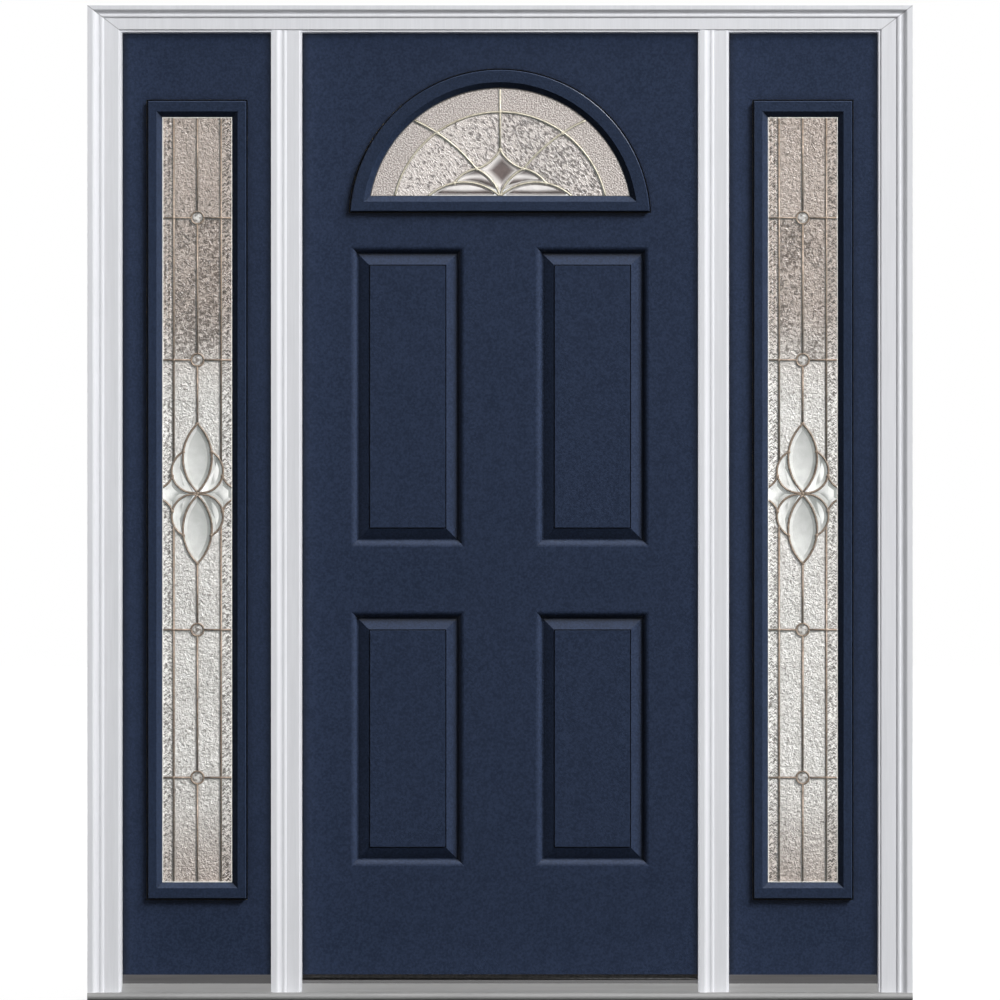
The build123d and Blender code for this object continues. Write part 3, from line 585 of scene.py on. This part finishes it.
def navy_paint(name, color):
    """Baked navy paint over pebbled steel, a little dust on the ledges, and painted shade that darkens the
    grooves.
    """
    material, tree, shader, place = finish(name, color, Specular__IOR__Level=0.25)
    pebble = use(tree, "pebble", Vector=place)
    dust = use(tree, "dust", Vector=place, Amount=0.1)
    shaded = toned(tree, color, pebble["Shade"], 0.8, 1.2)
    dusted = blend(tree, dust["Mask"], shaded, linear(120, 124, 132))
    # Painted shade: where ambient occlusion finds a crevice, the colour goes towards near-black, as shade
    # falls there
    open_air = add(tree, "ShaderNodeAmbientOcclusion", {"samples": 2}, Distance=GROOVE_REACH).outputs["AO"]
    painted_groove_shade = ramp(tree, open_air, 0.4, 0.96, 0.92, 0.0)
    drive(tree, shader, Base__Color=blend(tree, painted_groove_shade, dusted, linear(7, 9, 15)),
          Roughness=ramp(tree, pebble["Shade"], 0.3, 0.7, 0.3, 0.4))
    relief(tree, shader, pebble["Height"], 0.3, 0.0007)
    return material


def mitre_line(tree, place):
    """Share of the fine line at the casing's mitre, by the distance from the line through its corners."""
    x, _, z = split(tree, place)
    (x_out, z_out), (x_in, z_in) = MITRE
    length = math.hypot(x_out - x_in, z_out - z_in)
    beside = maths(tree, "ABSOLUTE", x)
    across = maths(tree, "MULTIPLY", maths(tree, "SUBTRACT", beside, x_out), (z_out - z_in) / length)
    down = maths(tree, "MULTIPLY", maths(tree, "SUBTRACT", z, z_out), (x_out - x_in) / length)
    off = maths(tree, "ABSOLUTE", maths(tree, "SUBTRACT", across, down))
    corner = maths(tree, "GREATER_THAN", beside, x_in)
    return maths(tree, "MULTIPLY", corner, ramp(tree, off, *MITRE_LINE, 0.6, 0.0))


def white_paint(name, color, stretch, mitred=False):
    """White finish on moulded trim: faint lengthwise grain, a soft sheen, a fine line where a mitre meets."""
    material, tree, shader, place = finish(name, color, Specular__IOR__Level=0.35)
    streak = use(tree, "streak", Vector=place, Stretch=stretch)
    dust = use(tree, "dust", Vector=place, Amount=0.18)
    shaded = toned(tree, color, streak["Shade"], 0.955, 1.03)
    if mitred:
        shaded = blend(tree, mitre_line(tree, place), shaded, linear(120, 120, 122))
    drive(tree, shader, Base__Color=blend(tree, dust["Mask"], shaded, linear(176, 172, 164)),
          Roughness=ramp(tree, streak["Shade"], 0.3, 0.7, 0.4, 0.52))
    relief(tree, shader, streak["Height"], 0.12, 0.0004)
    return material


def drawn_metal(name, color, rough, stretch, metallic=1.0):
    """Drawn metal with lengthwise lines and dulled patches."""
    material, tree, shader, place = finish(name, color, Metallic=metallic)
    streak = use(tree, "streak", Vector=place, Stretch=stretch)
    dust = use(tree, "dust", Vector=place, Amount=0.25)
    shaded = toned(tree, color, streak["Shade"], 0.82, 1.12)
    drive(tree, shader, Base__Color=blend(tree, dust["Mask"], shaded, linear(150, 146, 140)),
          Roughness=ramp(tree, streak["Shade"], 0.3, 0.7, rough - 0.08, rough + 0.1))
    relief(tree, shader, streak["Height"], 0.1, 0.0003)
    return material


def soft_stuff(name, color, rough):
    """Seal, sweep or foam: dull and soft, with a fine bloom."""
    material, tree, shader, place = finish(name, color, Specular__IOR__Level=0.3)
    bloom = noise(tree, place, 120.0, 4.0, 0.6)
    drive(tree, shader, Base__Color=toned(tree, color, bloom, 0.7, 1.35),
          Roughness=ramp(tree, bloom, 0.3, 0.7, rough, rough + 0.15))
    return material


def stile_wood(name, light, dark):
    """Bare edge of the wooden stile: long grain with darker lines."""
    material, tree, shader, place = finish(name, light, Specular__IOR__Level=0.25)
    streak = use(tree, "streak", Vector=place, Stretch=(260.0, 260.0, 9.0))
    drive(tree, shader, Base__Color=blend(tree, ramp(tree, streak["Shade"], 0.35, 0.65), light, dark),
          Roughness=ramp(tree, streak["Shade"], 0.3, 0.7, 0.5, 0.65))
    relief(tree, shader, streak["Height"], 0.2, 0.0004)
    return material


def clear_pane(name):
    """Clear glass: nearly all let through, with a faint smear."""
    material, tree, shader, place = finish(name, (0.3, 0.34, 0.33, 1.0), Roughness=0.03)
    drive(tree, shader, Alpha=ramp(tree, noise(tree, place, 7.0, 3.0), 0.3, 0.7, 0.05, 0.085))
    return material


def lead(name, color, dark, edge, spacer):
    """Came with its patina, and the spacer bar round the glass, whose place the given sum finds."""
    material, tree, shader, place = finish(name, color, Metallic=0.15)
    cloud = noise(tree, place, 160.0, 3.0, 0.6)
    patina = blend(tree, ramp(tree, cloud, 0.4, 0.7), color, dark)
    bar = toned(tree, spacer, cloud, 0.75, 1.1)
    drive(tree, shader, Base__Color=blend(tree, edge(tree, place), patina, bar),
          Roughness=ramp(tree, cloud, 0.3, 0.7, 0.32, 0.5))
    relief(tree, shader, cloud, 0.15, 0.0003)
    return material


def beside_column(tree, place):
    """Distance of a place in a sidelight from the middle of its glass, across."""
    x = split(tree, place)[0]
    return maths(tree, "ABSOLUTE", maths(tree, "SUBTRACT", maths(tree, "ABSOLUTE", x), LIGHT_CENTRE))


def tall_edge(tree, place):
    """One on the spacer of a sidelight: the sides and ends of its glass."""
    z = split(tree, place)[2]
    ends = maths(tree, "ABSOLUTE", maths(tree, "SUBTRACT", z, GLASS_MIDDLE))
    sides = maths(tree, "GREATER_THAN", beside_column(tree, place), GLASS_HALF - CELL_MARGIN)
    return maths(tree, "MAXIMUM", sides, maths(tree, "GREATER_THAN", ends, GLASS_REACH - CELL_MARGIN))


def fan_reach(tree, place):
    """Distance of a place in the fanlight from the centre of its arc."""
    x, _, z = split(tree, place)
    rise = maths(tree, "SUBTRACT", z, FAN_CENTRE)
    squares = maths(tree, "ADD", maths(tree, "MULTIPLY", x, x), maths(tree, "MULTIPLY", rise, rise))
    return maths(tree, "SQRT", squares)


def fan_edge(tree, place):
    """One on the spacer of the fanlight: its arc and its base."""
    low = maths(tree, "LESS_THAN", split(tree, place)[2], FAN_GLASS_BASE + CELL_MARGIN)
    far = maths(tree, "GREATER_THAN", fan_reach(tree, place), FAN_GLASS_RADIUS - CELL_MARGIN)
    return maths(tree, "MAXIMUM", low, far)


def tall_glass(name):
    """Sidelight glass: rope-like border strips, feathered flakes below the top bar, paler in mid height."""
    material, tree, shader, place = finish(name, linear(190, 184, 176), Specular__IOR__Level=0.6)
    x, y, z = split(tree, place)
    side = beside_column(tree, place)
    border = maths(tree, "GREATER_THAN", side, COLUMN)
    fold = maths(tree, "PINGPONG", maths(tree, "SUBTRACT", side, COLUMN), BORDER_STRIP / 6)
    slanted = add(tree, "ShaderNodeCombineXYZ", None, X=x, Y=y, Z=maths(tree, "ADD", z, fold)).outputs[0]
    under = maths(tree, "LESS_THAN", z, ROWS[0])
    between = maths(tree, "MULTIPLY", under, maths(tree, "GREATER_THAN", z, ROWS[1]))
    drift = ramp(tree, noise(tree, place, 11.0, 1.0), 0.35, 0.65, -0.25, 0.15)
    density = maths(tree, "ADD", maths(tree, "MULTIPLY_ADD", between, 0.48, 0.4), drift)
    chip = use(tree, "chip", Vector=place, Scale=128.0, Density=density)
    strip = use(tree, "ripple", Vector=slanted, Stretch=(120.0, 120.0, 400.0))
    inner = use(tree, "swirl", Vector=place)
    middle = maths(tree, "MULTIPLY", ramp(tree, z, *PALE_FOOT), ramp(tree, z, *PALE_TOP, 1.0, 0.0))
    ground = blend(tree, middle, linear(192, 177, 167), linear(238, 235, 231))
    dark = blend(tree, middle, linear(92, 78, 69), linear(146, 139, 133))
    flaked = blend(tree, maths(tree, "MULTIPLY", chip["Flake"], 0.9), ground, dark)
    brushed = blend(tree, maths(tree, "MULTIPLY", inner["Stroke"], 0.52), flaked, dark)
    pale = toned(tree, ground, strip["Height"], 1.25, 0.85)
    edged = blend(tree, strip["Stroke"], pale, toned(tree, dark, inner["Height"], 0.4, 0.9))
    drive(tree, shader, Base__Color=blend(tree, border, brushed, edged),
          Roughness=ramp(tree, inner["Stroke"], 0.0, 1.0, 0.16, 0.3))
    plain = maths(tree, "MULTIPLY_ADD", inner["Height"], 0.6, chip["Height"])
    relief(tree, shader, mixed(tree, border, plain, strip["Height"]), 0.7, 0.004)
    return material


def fan_glass(name):
    """Fanlight glass: fine stipple in the outer band, feathered flakes inside, thicker to the right."""
    material, tree, shader, place = finish(name, linear(190, 182, 176), Specular__IOR__Level=0.6)
    x = split(tree, place)[0]
    band = maths(tree, "GREATER_THAN", fan_reach(tree, place), FAN_CAME_RADIUS)
    slant = add(tree, "ShaderNodeMapping", {"vector_type": "TEXTURE"}, Vector=place,
                Rotation=(0.0, -0.75, 0.0), Scale=(0.8, 1.0, 1.5)).outputs[0]
    chip = use(tree, "chip", Vector=slant, Scale=150.0, Density=ramp(tree, x, -0.12, 0.1, 0.66, 0.95))
    stipple = noise(tree, place, 300.0, 1.0, 0.6)
    flake = maths(tree, "MULTIPLY", chip["Flake"], 0.9)
    flaked = blend(tree, flake, linear(212, 202, 197), linear(106, 97, 94))
    spotted = blend(tree, ramp(tree, stipple, 0.36, 0.64), linear(214, 204, 199), linear(160, 149, 144))
    drive(tree, shader, Base__Color=blend(tree, band, flaked, spotted),
          Roughness=ramp(tree, stipple, 0.3, 0.7, 0.18, 0.34))
    relief(tree, shader, mixed(tree, band, chip["Height"], stipple), 0.7, 0.003)
    return material


def cut_glass(name, dark, light):
    """Bevelled glass: each piece goes from dark to light by its own painted highlight and shade, with a
    slight cloud.
    """
    material, tree, shader, place = finish(name, light, Roughness=0.06, Transmission__Weight=0.45)
    # Painted highlight and shade, read from each point's or face's attribute, mixes the dark and light
    # colours
    painted_light = add(tree, "ShaderNodeAttribute", {"attribute_name": "painted_light"}).outputs["Fac"]
    tone = blend(tree, painted_light, dark, light)
    drive(tree, shader, Base__Color=toned(tree, tone, noise(tree, place, 60.0, 2.0), 0.94, 1.05))
    return material


# Leaded patterns: came lines, solder joints, jewels and bevelled shapes, each shape with its middle
def tall_pattern(centre, half, low, high):
    """Sidelight: three columns, four jewelled bars and a leaf cluster drawn in shares of the half width."""
    edge = half - EDGE_LAP + CAME_WIDTH / 2
    tip, root, column_end = 1.974, 0.04, 0.927 * edge
    bulge_x, bulge_z = 0.41, 1.007
    petal = ((0.397, 1.179), (0.728, 0.662), (0.0265, 0.0265))
    # The shoulder leaves the petal's arc at this height
    hub = circle_centre(*np.array(petal))
    reach = np.linalg.norm(np.array(petal[0]) - hub)
    tip_z = 0.503
    tip_x = hub[0] + math.sqrt(reach**2 - (tip_z - hub[1]) ** 2)

    def p(x, z):
        return (centre + x * edge, CLUSTER_HEIGHT + z * edge)

    def shoulder(h, v):
        return arc(p(h * tip_x, v * tip_z), p(h * 0.808, v * 0.318), p(h, v * 0.172))

    column = half - BORDER_STRIP
    upper, lower = CLUSTER_HEIGHT + tip * edge, CLUSTER_HEIGHT - tip * edge
    rows = [upper + s * (high - upper) for s in ROW_SHARES]
    rows += [lower - s * (lower - low) for s in reversed(ROW_SHARES)]
    lines, joints, shapes = [], [], []
    for x in (centre - column, centre + column):
        lines.append(straight((x, high), (x, CLUSTER_HEIGHT + column_end)))
        lines.append(straight((x, CLUSTER_HEIGHT - column_end), (x, low)))
        joints += [(x, z) for z in rows]
    # The middle column stops at each jewel
    for run in ([high, rows[0], rows[1], upper], [lower, rows[2], rows[3], low]):
        for k in range(3):
            start = run[k] - (JEWEL_RADIUS if k > 0 else 0)
            end = run[k + 1] + (JEWEL_RADIUS if k < 2 else 0)
            lines.append(straight((centre, start), (centre, end)))
    turn = np.linspace(0, 2 * math.pi, JEWEL_CAME_STEPS)
    ring = JEWEL_RADIUS * np.stack([np.cos(turn), np.sin(turn)], axis=1)
    for z in rows:
        lines.append(straight((centre - half, z), (centre - JEWEL_RADIUS, z)))
        lines.append(straight((centre + JEWEL_RADIUS, z), (centre + half, z)))
        lines.append(np.array([centre, z]) + ring)
    for v in (1, -1):
        left = arc(p(0, v * tip), p(-bulge_x, v * bulge_z), p(0, v * root))
        right = arc(p(0, v * root), p(bulge_x, v * bulge_z), p(0, v * tip))
        lines += [left, right]
        shapes.append((np.concatenate([left[:-1], right[:-1]]), p(0, v * bulge_z), "lens"))
        joints.append(p(0, v * tip))
        for h in (-1, 1):
            outer = arc(*[p(h * x, v * z) for x, z in petal])
            # The petal lies between its own arc and the leaf's side
            leaf_side = right if h > 0 else left[::-1]
            start = np.argmin(np.linalg.norm(leaf_side - outer[0], axis=1))
            bank = leaf_side[1:start + 1]
            shapes.append((np.concatenate([outer, bank]), p(h * 0.5, v * 0.72), "crescent"))
            lines += [outer, shoulder(h, v)]
            joints += [p(h * tip_x, v * tip_z), tuple(outer[0])]
    joints.append(p(0, 0))
    for h in (-1, 1):
        outline = []
        for v in (1, -1):
            outer = arc(*[p(h * x, v * z) for x, z in petal], steps=LONG_ARC_STEPS)
            flank = outer[np.argmin(np.linalg.norm(outer - np.array(p(h * tip_x, v * tip_z)), axis=1)):]
            run = np.concatenate([flank[::-1], shoulder(h, v)])
            outline.append(run if v > 0 else run[::-1])
        shapes.append((np.concatenate(outline), p(h * 0.72, 0), "point"))
    return lines, joints, [(centre, z) for z in rows], shapes, rows, column


def fan_pattern():
    """Fanlight: an inner arch, two swoops, a star over petals, drawn in shares of the glass's radius."""
    radius = FAN_GLASS_RADIUS
    base = (FAN_GLASS_BASE - FAN_CENTRE) / radius
    arch = FAN_CAME_RADIUS / radius
    half = math.sqrt(arch**2 - base**2)
    crown, shoulder, foot = (0, 0.533), (0.178, 0.387), (0, base)

    def p(x, z):
        return (x * radius, FAN_CENTRE + z * radius)

    lines = [arc(p(-half, base), p(0, arch), p(half, base), LONG_ARC_STEPS), straight(p(0, 0.99), p(*crown))]
    joints, shapes, star = [p(0, arch), p(*crown)], [], []
    for h in (-1, 1):
        top = p(h * shoulder[0], shoulder[1])
        upper = arc(p(*crown), p(h * 0.064, 0.451), top)
        lower = arc(top, p(h * 0.071, 0.309), p(*foot))
        big = arc(p(h * 0.5435, base), p(h * 0.272, base + 0.1066), p(*foot), LONG_ARC_STEPS)
        near = np.argmin(np.abs(big[:, 0] - h * 0.348 * radius))
        petal = arc(tuple(big[near]), p(h * 0.262, 0.358), top)
        swoop = arc(p(h * 0.648, 0.753), p(h * 0.401, 0.607), top)
        lines += [upper, lower, petal, big, swoop]
        joints += [top, tuple(big[near])]
        crossing = np.argmin(np.abs(np.hypot(swoop[:, 0], swoop[:, 1] - FAN_CENTRE) - FAN_CAME_RADIUS))
        joints.append(tuple(swoop[crossing]))
        shapes.append((big, p(h * 0.272, base + 0.045), "leaf"))
        hollow = np.concatenate([petal, lower[1:], big[near:][::-1][1:]])
        shapes.append((hollow, p(h * 0.215, base + 0.135), "petal"))
        star.append(np.concatenate([upper, lower[1:]]))
    shapes.append((np.concatenate([star[0], star[1][::-1][1:-1]]), p(0, 0.37), "star"))
    return lines, joints, [], shapes


# Both sidelights have the same rows and columns, so their materials share these values
LIGHTS = {}
for name in ("left_sidelight", "right_sidelight"):
    low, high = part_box(name + "_textured_glass")
    centre = (low.x + high.x) / 2
    half = (high.x - low.x) / 2 + CELL_MARGIN
    *pattern, ROWS, COLUMN = tall_pattern(centre, half, low.z - CELL_MARGIN, high.z + CELL_MARGIN)
    LIGHTS[name] = (pattern, "frame")
    LIGHT_CENTRE, GLASS_HALF = abs(centre), half
    GLASS_MIDDLE, GLASS_REACH = (low.z + high.z) / 2, (high.z - low.z) / 2 + CELL_MARGIN
LIGHTS["fanlight"] = (fan_pattern(), "door")

# Finishes by the record's slots
UPRIGHT_GRAIN = (300.0, 300.0, 12.0)
LEVEL_LINES = (6.0, 420.0, 420.0)
PALE_SPACER = linear(232, 230, 226)
DARK_SPACER = linear(74, 68, 66)
FINISHES = {
    "navy_steel": navy_paint("navy_steel", linear(33, 43, 63)),
    "navy_light_frame": navy_paint("navy_light_frame", linear(31, 41, 60)),
    "white_frame": white_paint("white_frame", linear(213, 214, 218), UPRIGHT_GRAIN),
    "white_casing": white_paint("white_casing", linear(217, 218, 222), UPRIGHT_GRAIN, True),
    "mill_aluminium": drawn_metal("mill_aluminium", linear(149, 149, 149), 0.55, LEVEL_LINES, 0.2),
    "threshold_grey": drawn_metal("threshold_grey", linear(82, 81, 82), 0.55, LEVEL_LINES, 0.2),
    "sill_board": stile_wood("sill_board", linear(98, 94, 90), linear(80, 76, 72)),
    "seal": soft_stuff("seal", linear(216, 214, 206), 0.6),
    "sweep_rubber": soft_stuff("sweep_rubber", linear(84, 84, 85), 0.6),
    "hinge_steel": drawn_metal("hinge_steel", linear(176, 176, 178), 0.32, (300.0, 300.0, 30.0)),
    "foam_core": soft_stuff("foam_core", linear(214, 196, 150), 0.8),
    "stile_wood": stile_wood("stile_wood", linear(196, 168, 128), linear(160, 126, 88)),
    "clear_glass": clear_pane("clear_glass"),
    "textured_glass": tall_glass("sidelight_textured_glass"),
    # Bevel glass goes between these dark and light colours by its painted highlight and shade
    "bevel_glass": cut_glass("bevel_glass", linear(146, 148, 145), linear(252, 252, 250)),
    "came": lead("came", linear(150, 130, 112), linear(104, 86, 72), tall_edge, PALE_SPACER),
}
FAN_CAME = lead("fan_came", linear(214, 206, 186), linear(170, 160, 140), fan_edge, DARK_SPACER)
STRIP = lead("came_strip", linear(104, 88, 74), linear(78, 64, 54), tall_edge, PALE_SPACER)
FAN_STRIP = lead("fan_came_strip", linear(124, 114, 92), linear(96, 86, 68), fan_edge, DARK_SPACER)
FAN_GLASS = fan_glass("fanlight_textured_glass")
# Jewels and fan bevels go between their dark and light colours by painted highlight and shade
JEWEL = cut_glass("jewel_glass", linear(96, 82, 72), linear(252, 250, 247))
FAN_BEVEL = cut_glass("fan_bevel_glass", linear(82, 66, 64), linear(252, 248, 246))

# Slots whose solids look different in a sidelight and in the fanlight
BY_LIGHT = {"came": (STRIP, FAN_STRIP), "textured_glass": (FINISHES["textured_glass"], FAN_GLASS)}
for row in frame["record"]["subparts"]:
    slot = row["material_slot"]
    choices = BY_LIGHT.get(slot, (FINISHES[slot], FINISHES[slot]))
    frame["nodes"][row["node"]].material_slots[0].material = choices[row["node"].startswith("fan")]


def leaded_light(name, pattern, body):
    """One leaded light: rounded came and solder on both faces, bevelled glass, and jewels if it has them."""
    lines, joints, jewels, shapes = pattern
    low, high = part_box(name + "_bevels")
    came, glass, width = FINISHES["came"], FINISHES["bevel_glass"], BEVEL_WIDTH
    if name == "fanlight":
        came, glass, width = FAN_CAME, FAN_BEVEL, FAN_BEVEL_WIDTH
    beads = []
    for face, out in ((low.y, 1), (high.y, -1)):
        beads += [lead_bead(line, face, out) for line in lines]
        beads += [solder_dot(point, face, out) for point in joints]
    piece(name + "_came_beads", joined(beads), came, body)
    cut = [bevel_glass(*shape, low.y, high.y, width) for shape in shapes]
    bevels = piece(name + "_cut_bevels", joined([shape[:2] for shape in cut]), glass, body)
    set_painted_light(bevels, "POINT", np.concatenate([shape[2] for shape in cut]))
    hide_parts(name + "_bevels")
    if jewels:
        stones = joined([cut_jewel(point, low.y, high.y) for point in jewels])
        made = piece(name + "_jewels", stones, JEWEL, body, smooth=False)
        set_painted_light(made, "FACE", facet_painted_light(made.data, jewels))


for name, (pattern, body) in LIGHTS.items():
    leaded_light(name, pattern, body)
piece("door_sweep_fins", sweep_fins(), FINISHES["sweep_rubber"], "door")


# Studio: pale floor, white surroundings, soft keys from the upper right that are flagged apart
def studio_floor():
    """Floor of a middle grey under the lamps, nearly white to the camera and whiter further away."""
    mesh = bpy.data.meshes.new("floor")
    corners = [(x * FLOOR_REACH, y * FLOOR_REACH, 0) for x, y in ((-1, -1), (1, -1), (1, 1), (-1, 1))]
    mesh.from_pydata(corners, [], [(0, 1, 2, 3)])
    floor = bpy.data.objects.new("floor", mesh)
    bpy.context.scene.collection.objects.link(floor)
    material, tree, shader, place = finish("floor", FLOOR_GREY, Roughness=0.9, Specular__IOR__Level=0.1)
    away = add(tree, "ShaderNodeVectorMath", {"operation": "LENGTH"}, _0=place).outputs["Value"]
    seen = tree.nodes.new("ShaderNodeLightPath").outputs["Is Camera Ray"]
    shader.inputs["Emission Color"].default_value = WHITE
    pale = ramp(tree, away, 0.9, 3.5, 0.86, 0.99)
    drive(tree, shader, Emission__Strength=maths(tree, "MULTIPLY", seen, pale))
    mesh.materials.append(material)


def flagged(names):
    """Collection of the pieces with these names, for a lamp that is flagged off from the rest."""
    made = bpy.data.collections.new("flagged")
    for obj in bpy.context.scene.objects:
        if obj.type == "MESH" and names(obj.name):
            made.objects.link(obj)
    return made


def in_panel(name):
    """True for the pieces of the door, its fanlight and the sidelights."""
    return name.startswith(("door_", "fanlight_")) or "_sidelight_" in name


def in_glass(name):
    """True for the pieces of the leaded lights inside their frames."""
    return in_panel(name) and not name.endswith(("_skin", "_frame", "_core")) and not name.startswith("door_")


def lamp(name, side, lift, size, power, lit=None, shading=None):
    """Square soft lamp aimed at the middle of the door, which the camera does not see.

    Side and lift are its bearing and height in degrees. A flagged lamp lights one collection of pieces and
    takes its shadows from another.
    """
    data = bpy.data.lights.new(name, "AREA")
    data.size = size
    data.energy = power
    obj = bpy.data.objects.new(name, data)
    side, lift = math.radians(side), math.radians(lift)
    way = np.array([math.sin(side) * math.cos(lift), -math.cos(side) * math.cos(lift), math.sin(lift)])
    obj.location = AIM + way * LAMP_DISTANCE
    obj.rotation_euler = (math.pi / 2 - lift, 0, side)
    obj.visible_camera = False
    bpy.context.scene.collection.objects.link(obj)
    if lit is not None:
        obj.light_linking.receiver_collection = lit
        obj.light_linking.blocker_collection = shading


def studio_world():
    """White to the camera and through glass, brighter towards the keys in reflections, dim as plain light."""
    world = bpy.data.worlds.new("studio")
    bpy.context.scene.world = world
    world.use_nodes = True
    tree = world.node_tree
    path = tree.nodes.new("ShaderNodeLightPath").outputs
    right, _, lift = split(tree, tree.nodes.new("ShaderNodeTexCoord").outputs["Generated"])
    toward_key = maths(tree, "MULTIPLY_ADD", right, 0.5, maths(tree, "MULTIPLY", lift, 0.8))
    seen = maths(tree, "MAXIMUM", path["Is Camera Ray"], path["Is Transmission Ray"])
    mirrored = maths(tree, "MULTIPLY", path["Is Glossy Ray"], ramp(tree, toward_key, -0.1, 0.6, 0.05, 1.0))
    strength = maths(tree, "MAXIMUM", maths(tree, "MAXIMUM", seen, mirrored), AMBIENT)
    background = tree.nodes["Background"]
    background.inputs["Color"].default_value = WHITE
    drive(tree, background, Strength=strength)


def long_lens():
    """Camera far in front of the door, whose frame takes in the view height."""
    data = bpy.data.cameras.new("camera")
    data.sensor_width = SENSOR_WIDTH
    data.lens = SENSOR_WIDTH * VIEW_DISTANCE / VIEW_HEIGHT
    data.clip_end = VIEW_END
    camera = bpy.data.objects.new("camera", data)
    camera.location = (0, -VIEW_DISTANCE, VIEW_HEIGHT / 2)
    camera.rotation_euler = (math.pi / 2, 0, 0)
    bpy.context.scene.collection.objects.link(camera)
    bpy.context.scene.camera = camera


studio_floor()
panels = flagged(lambda name: in_panel(name) and not in_glass(name))
surround = flagged(lambda name: not in_panel(name) and name != "floor")
beads = flagged(lambda name: name.endswith("_came_beads"))
lamp("panel_key", 66, 46, 6.0, 13000, panels, panels)
lamp("glass_key", 54, 40, 6.0, 8200, flagged(in_glass), beads)
lamp("frame_key", 53, 38, 6.0, 5400, surround, panels)
lamp("frame_fill", -30, 2, 8.0, 900, surround, panels)
lamp("front", 10, 32, 8.0, 240)
lamp("back_fill", 152, 30, 8.0, 2600)
studio_world()
long_lens()
bpy.context.scene.view_settings.view_transform = "Standard"
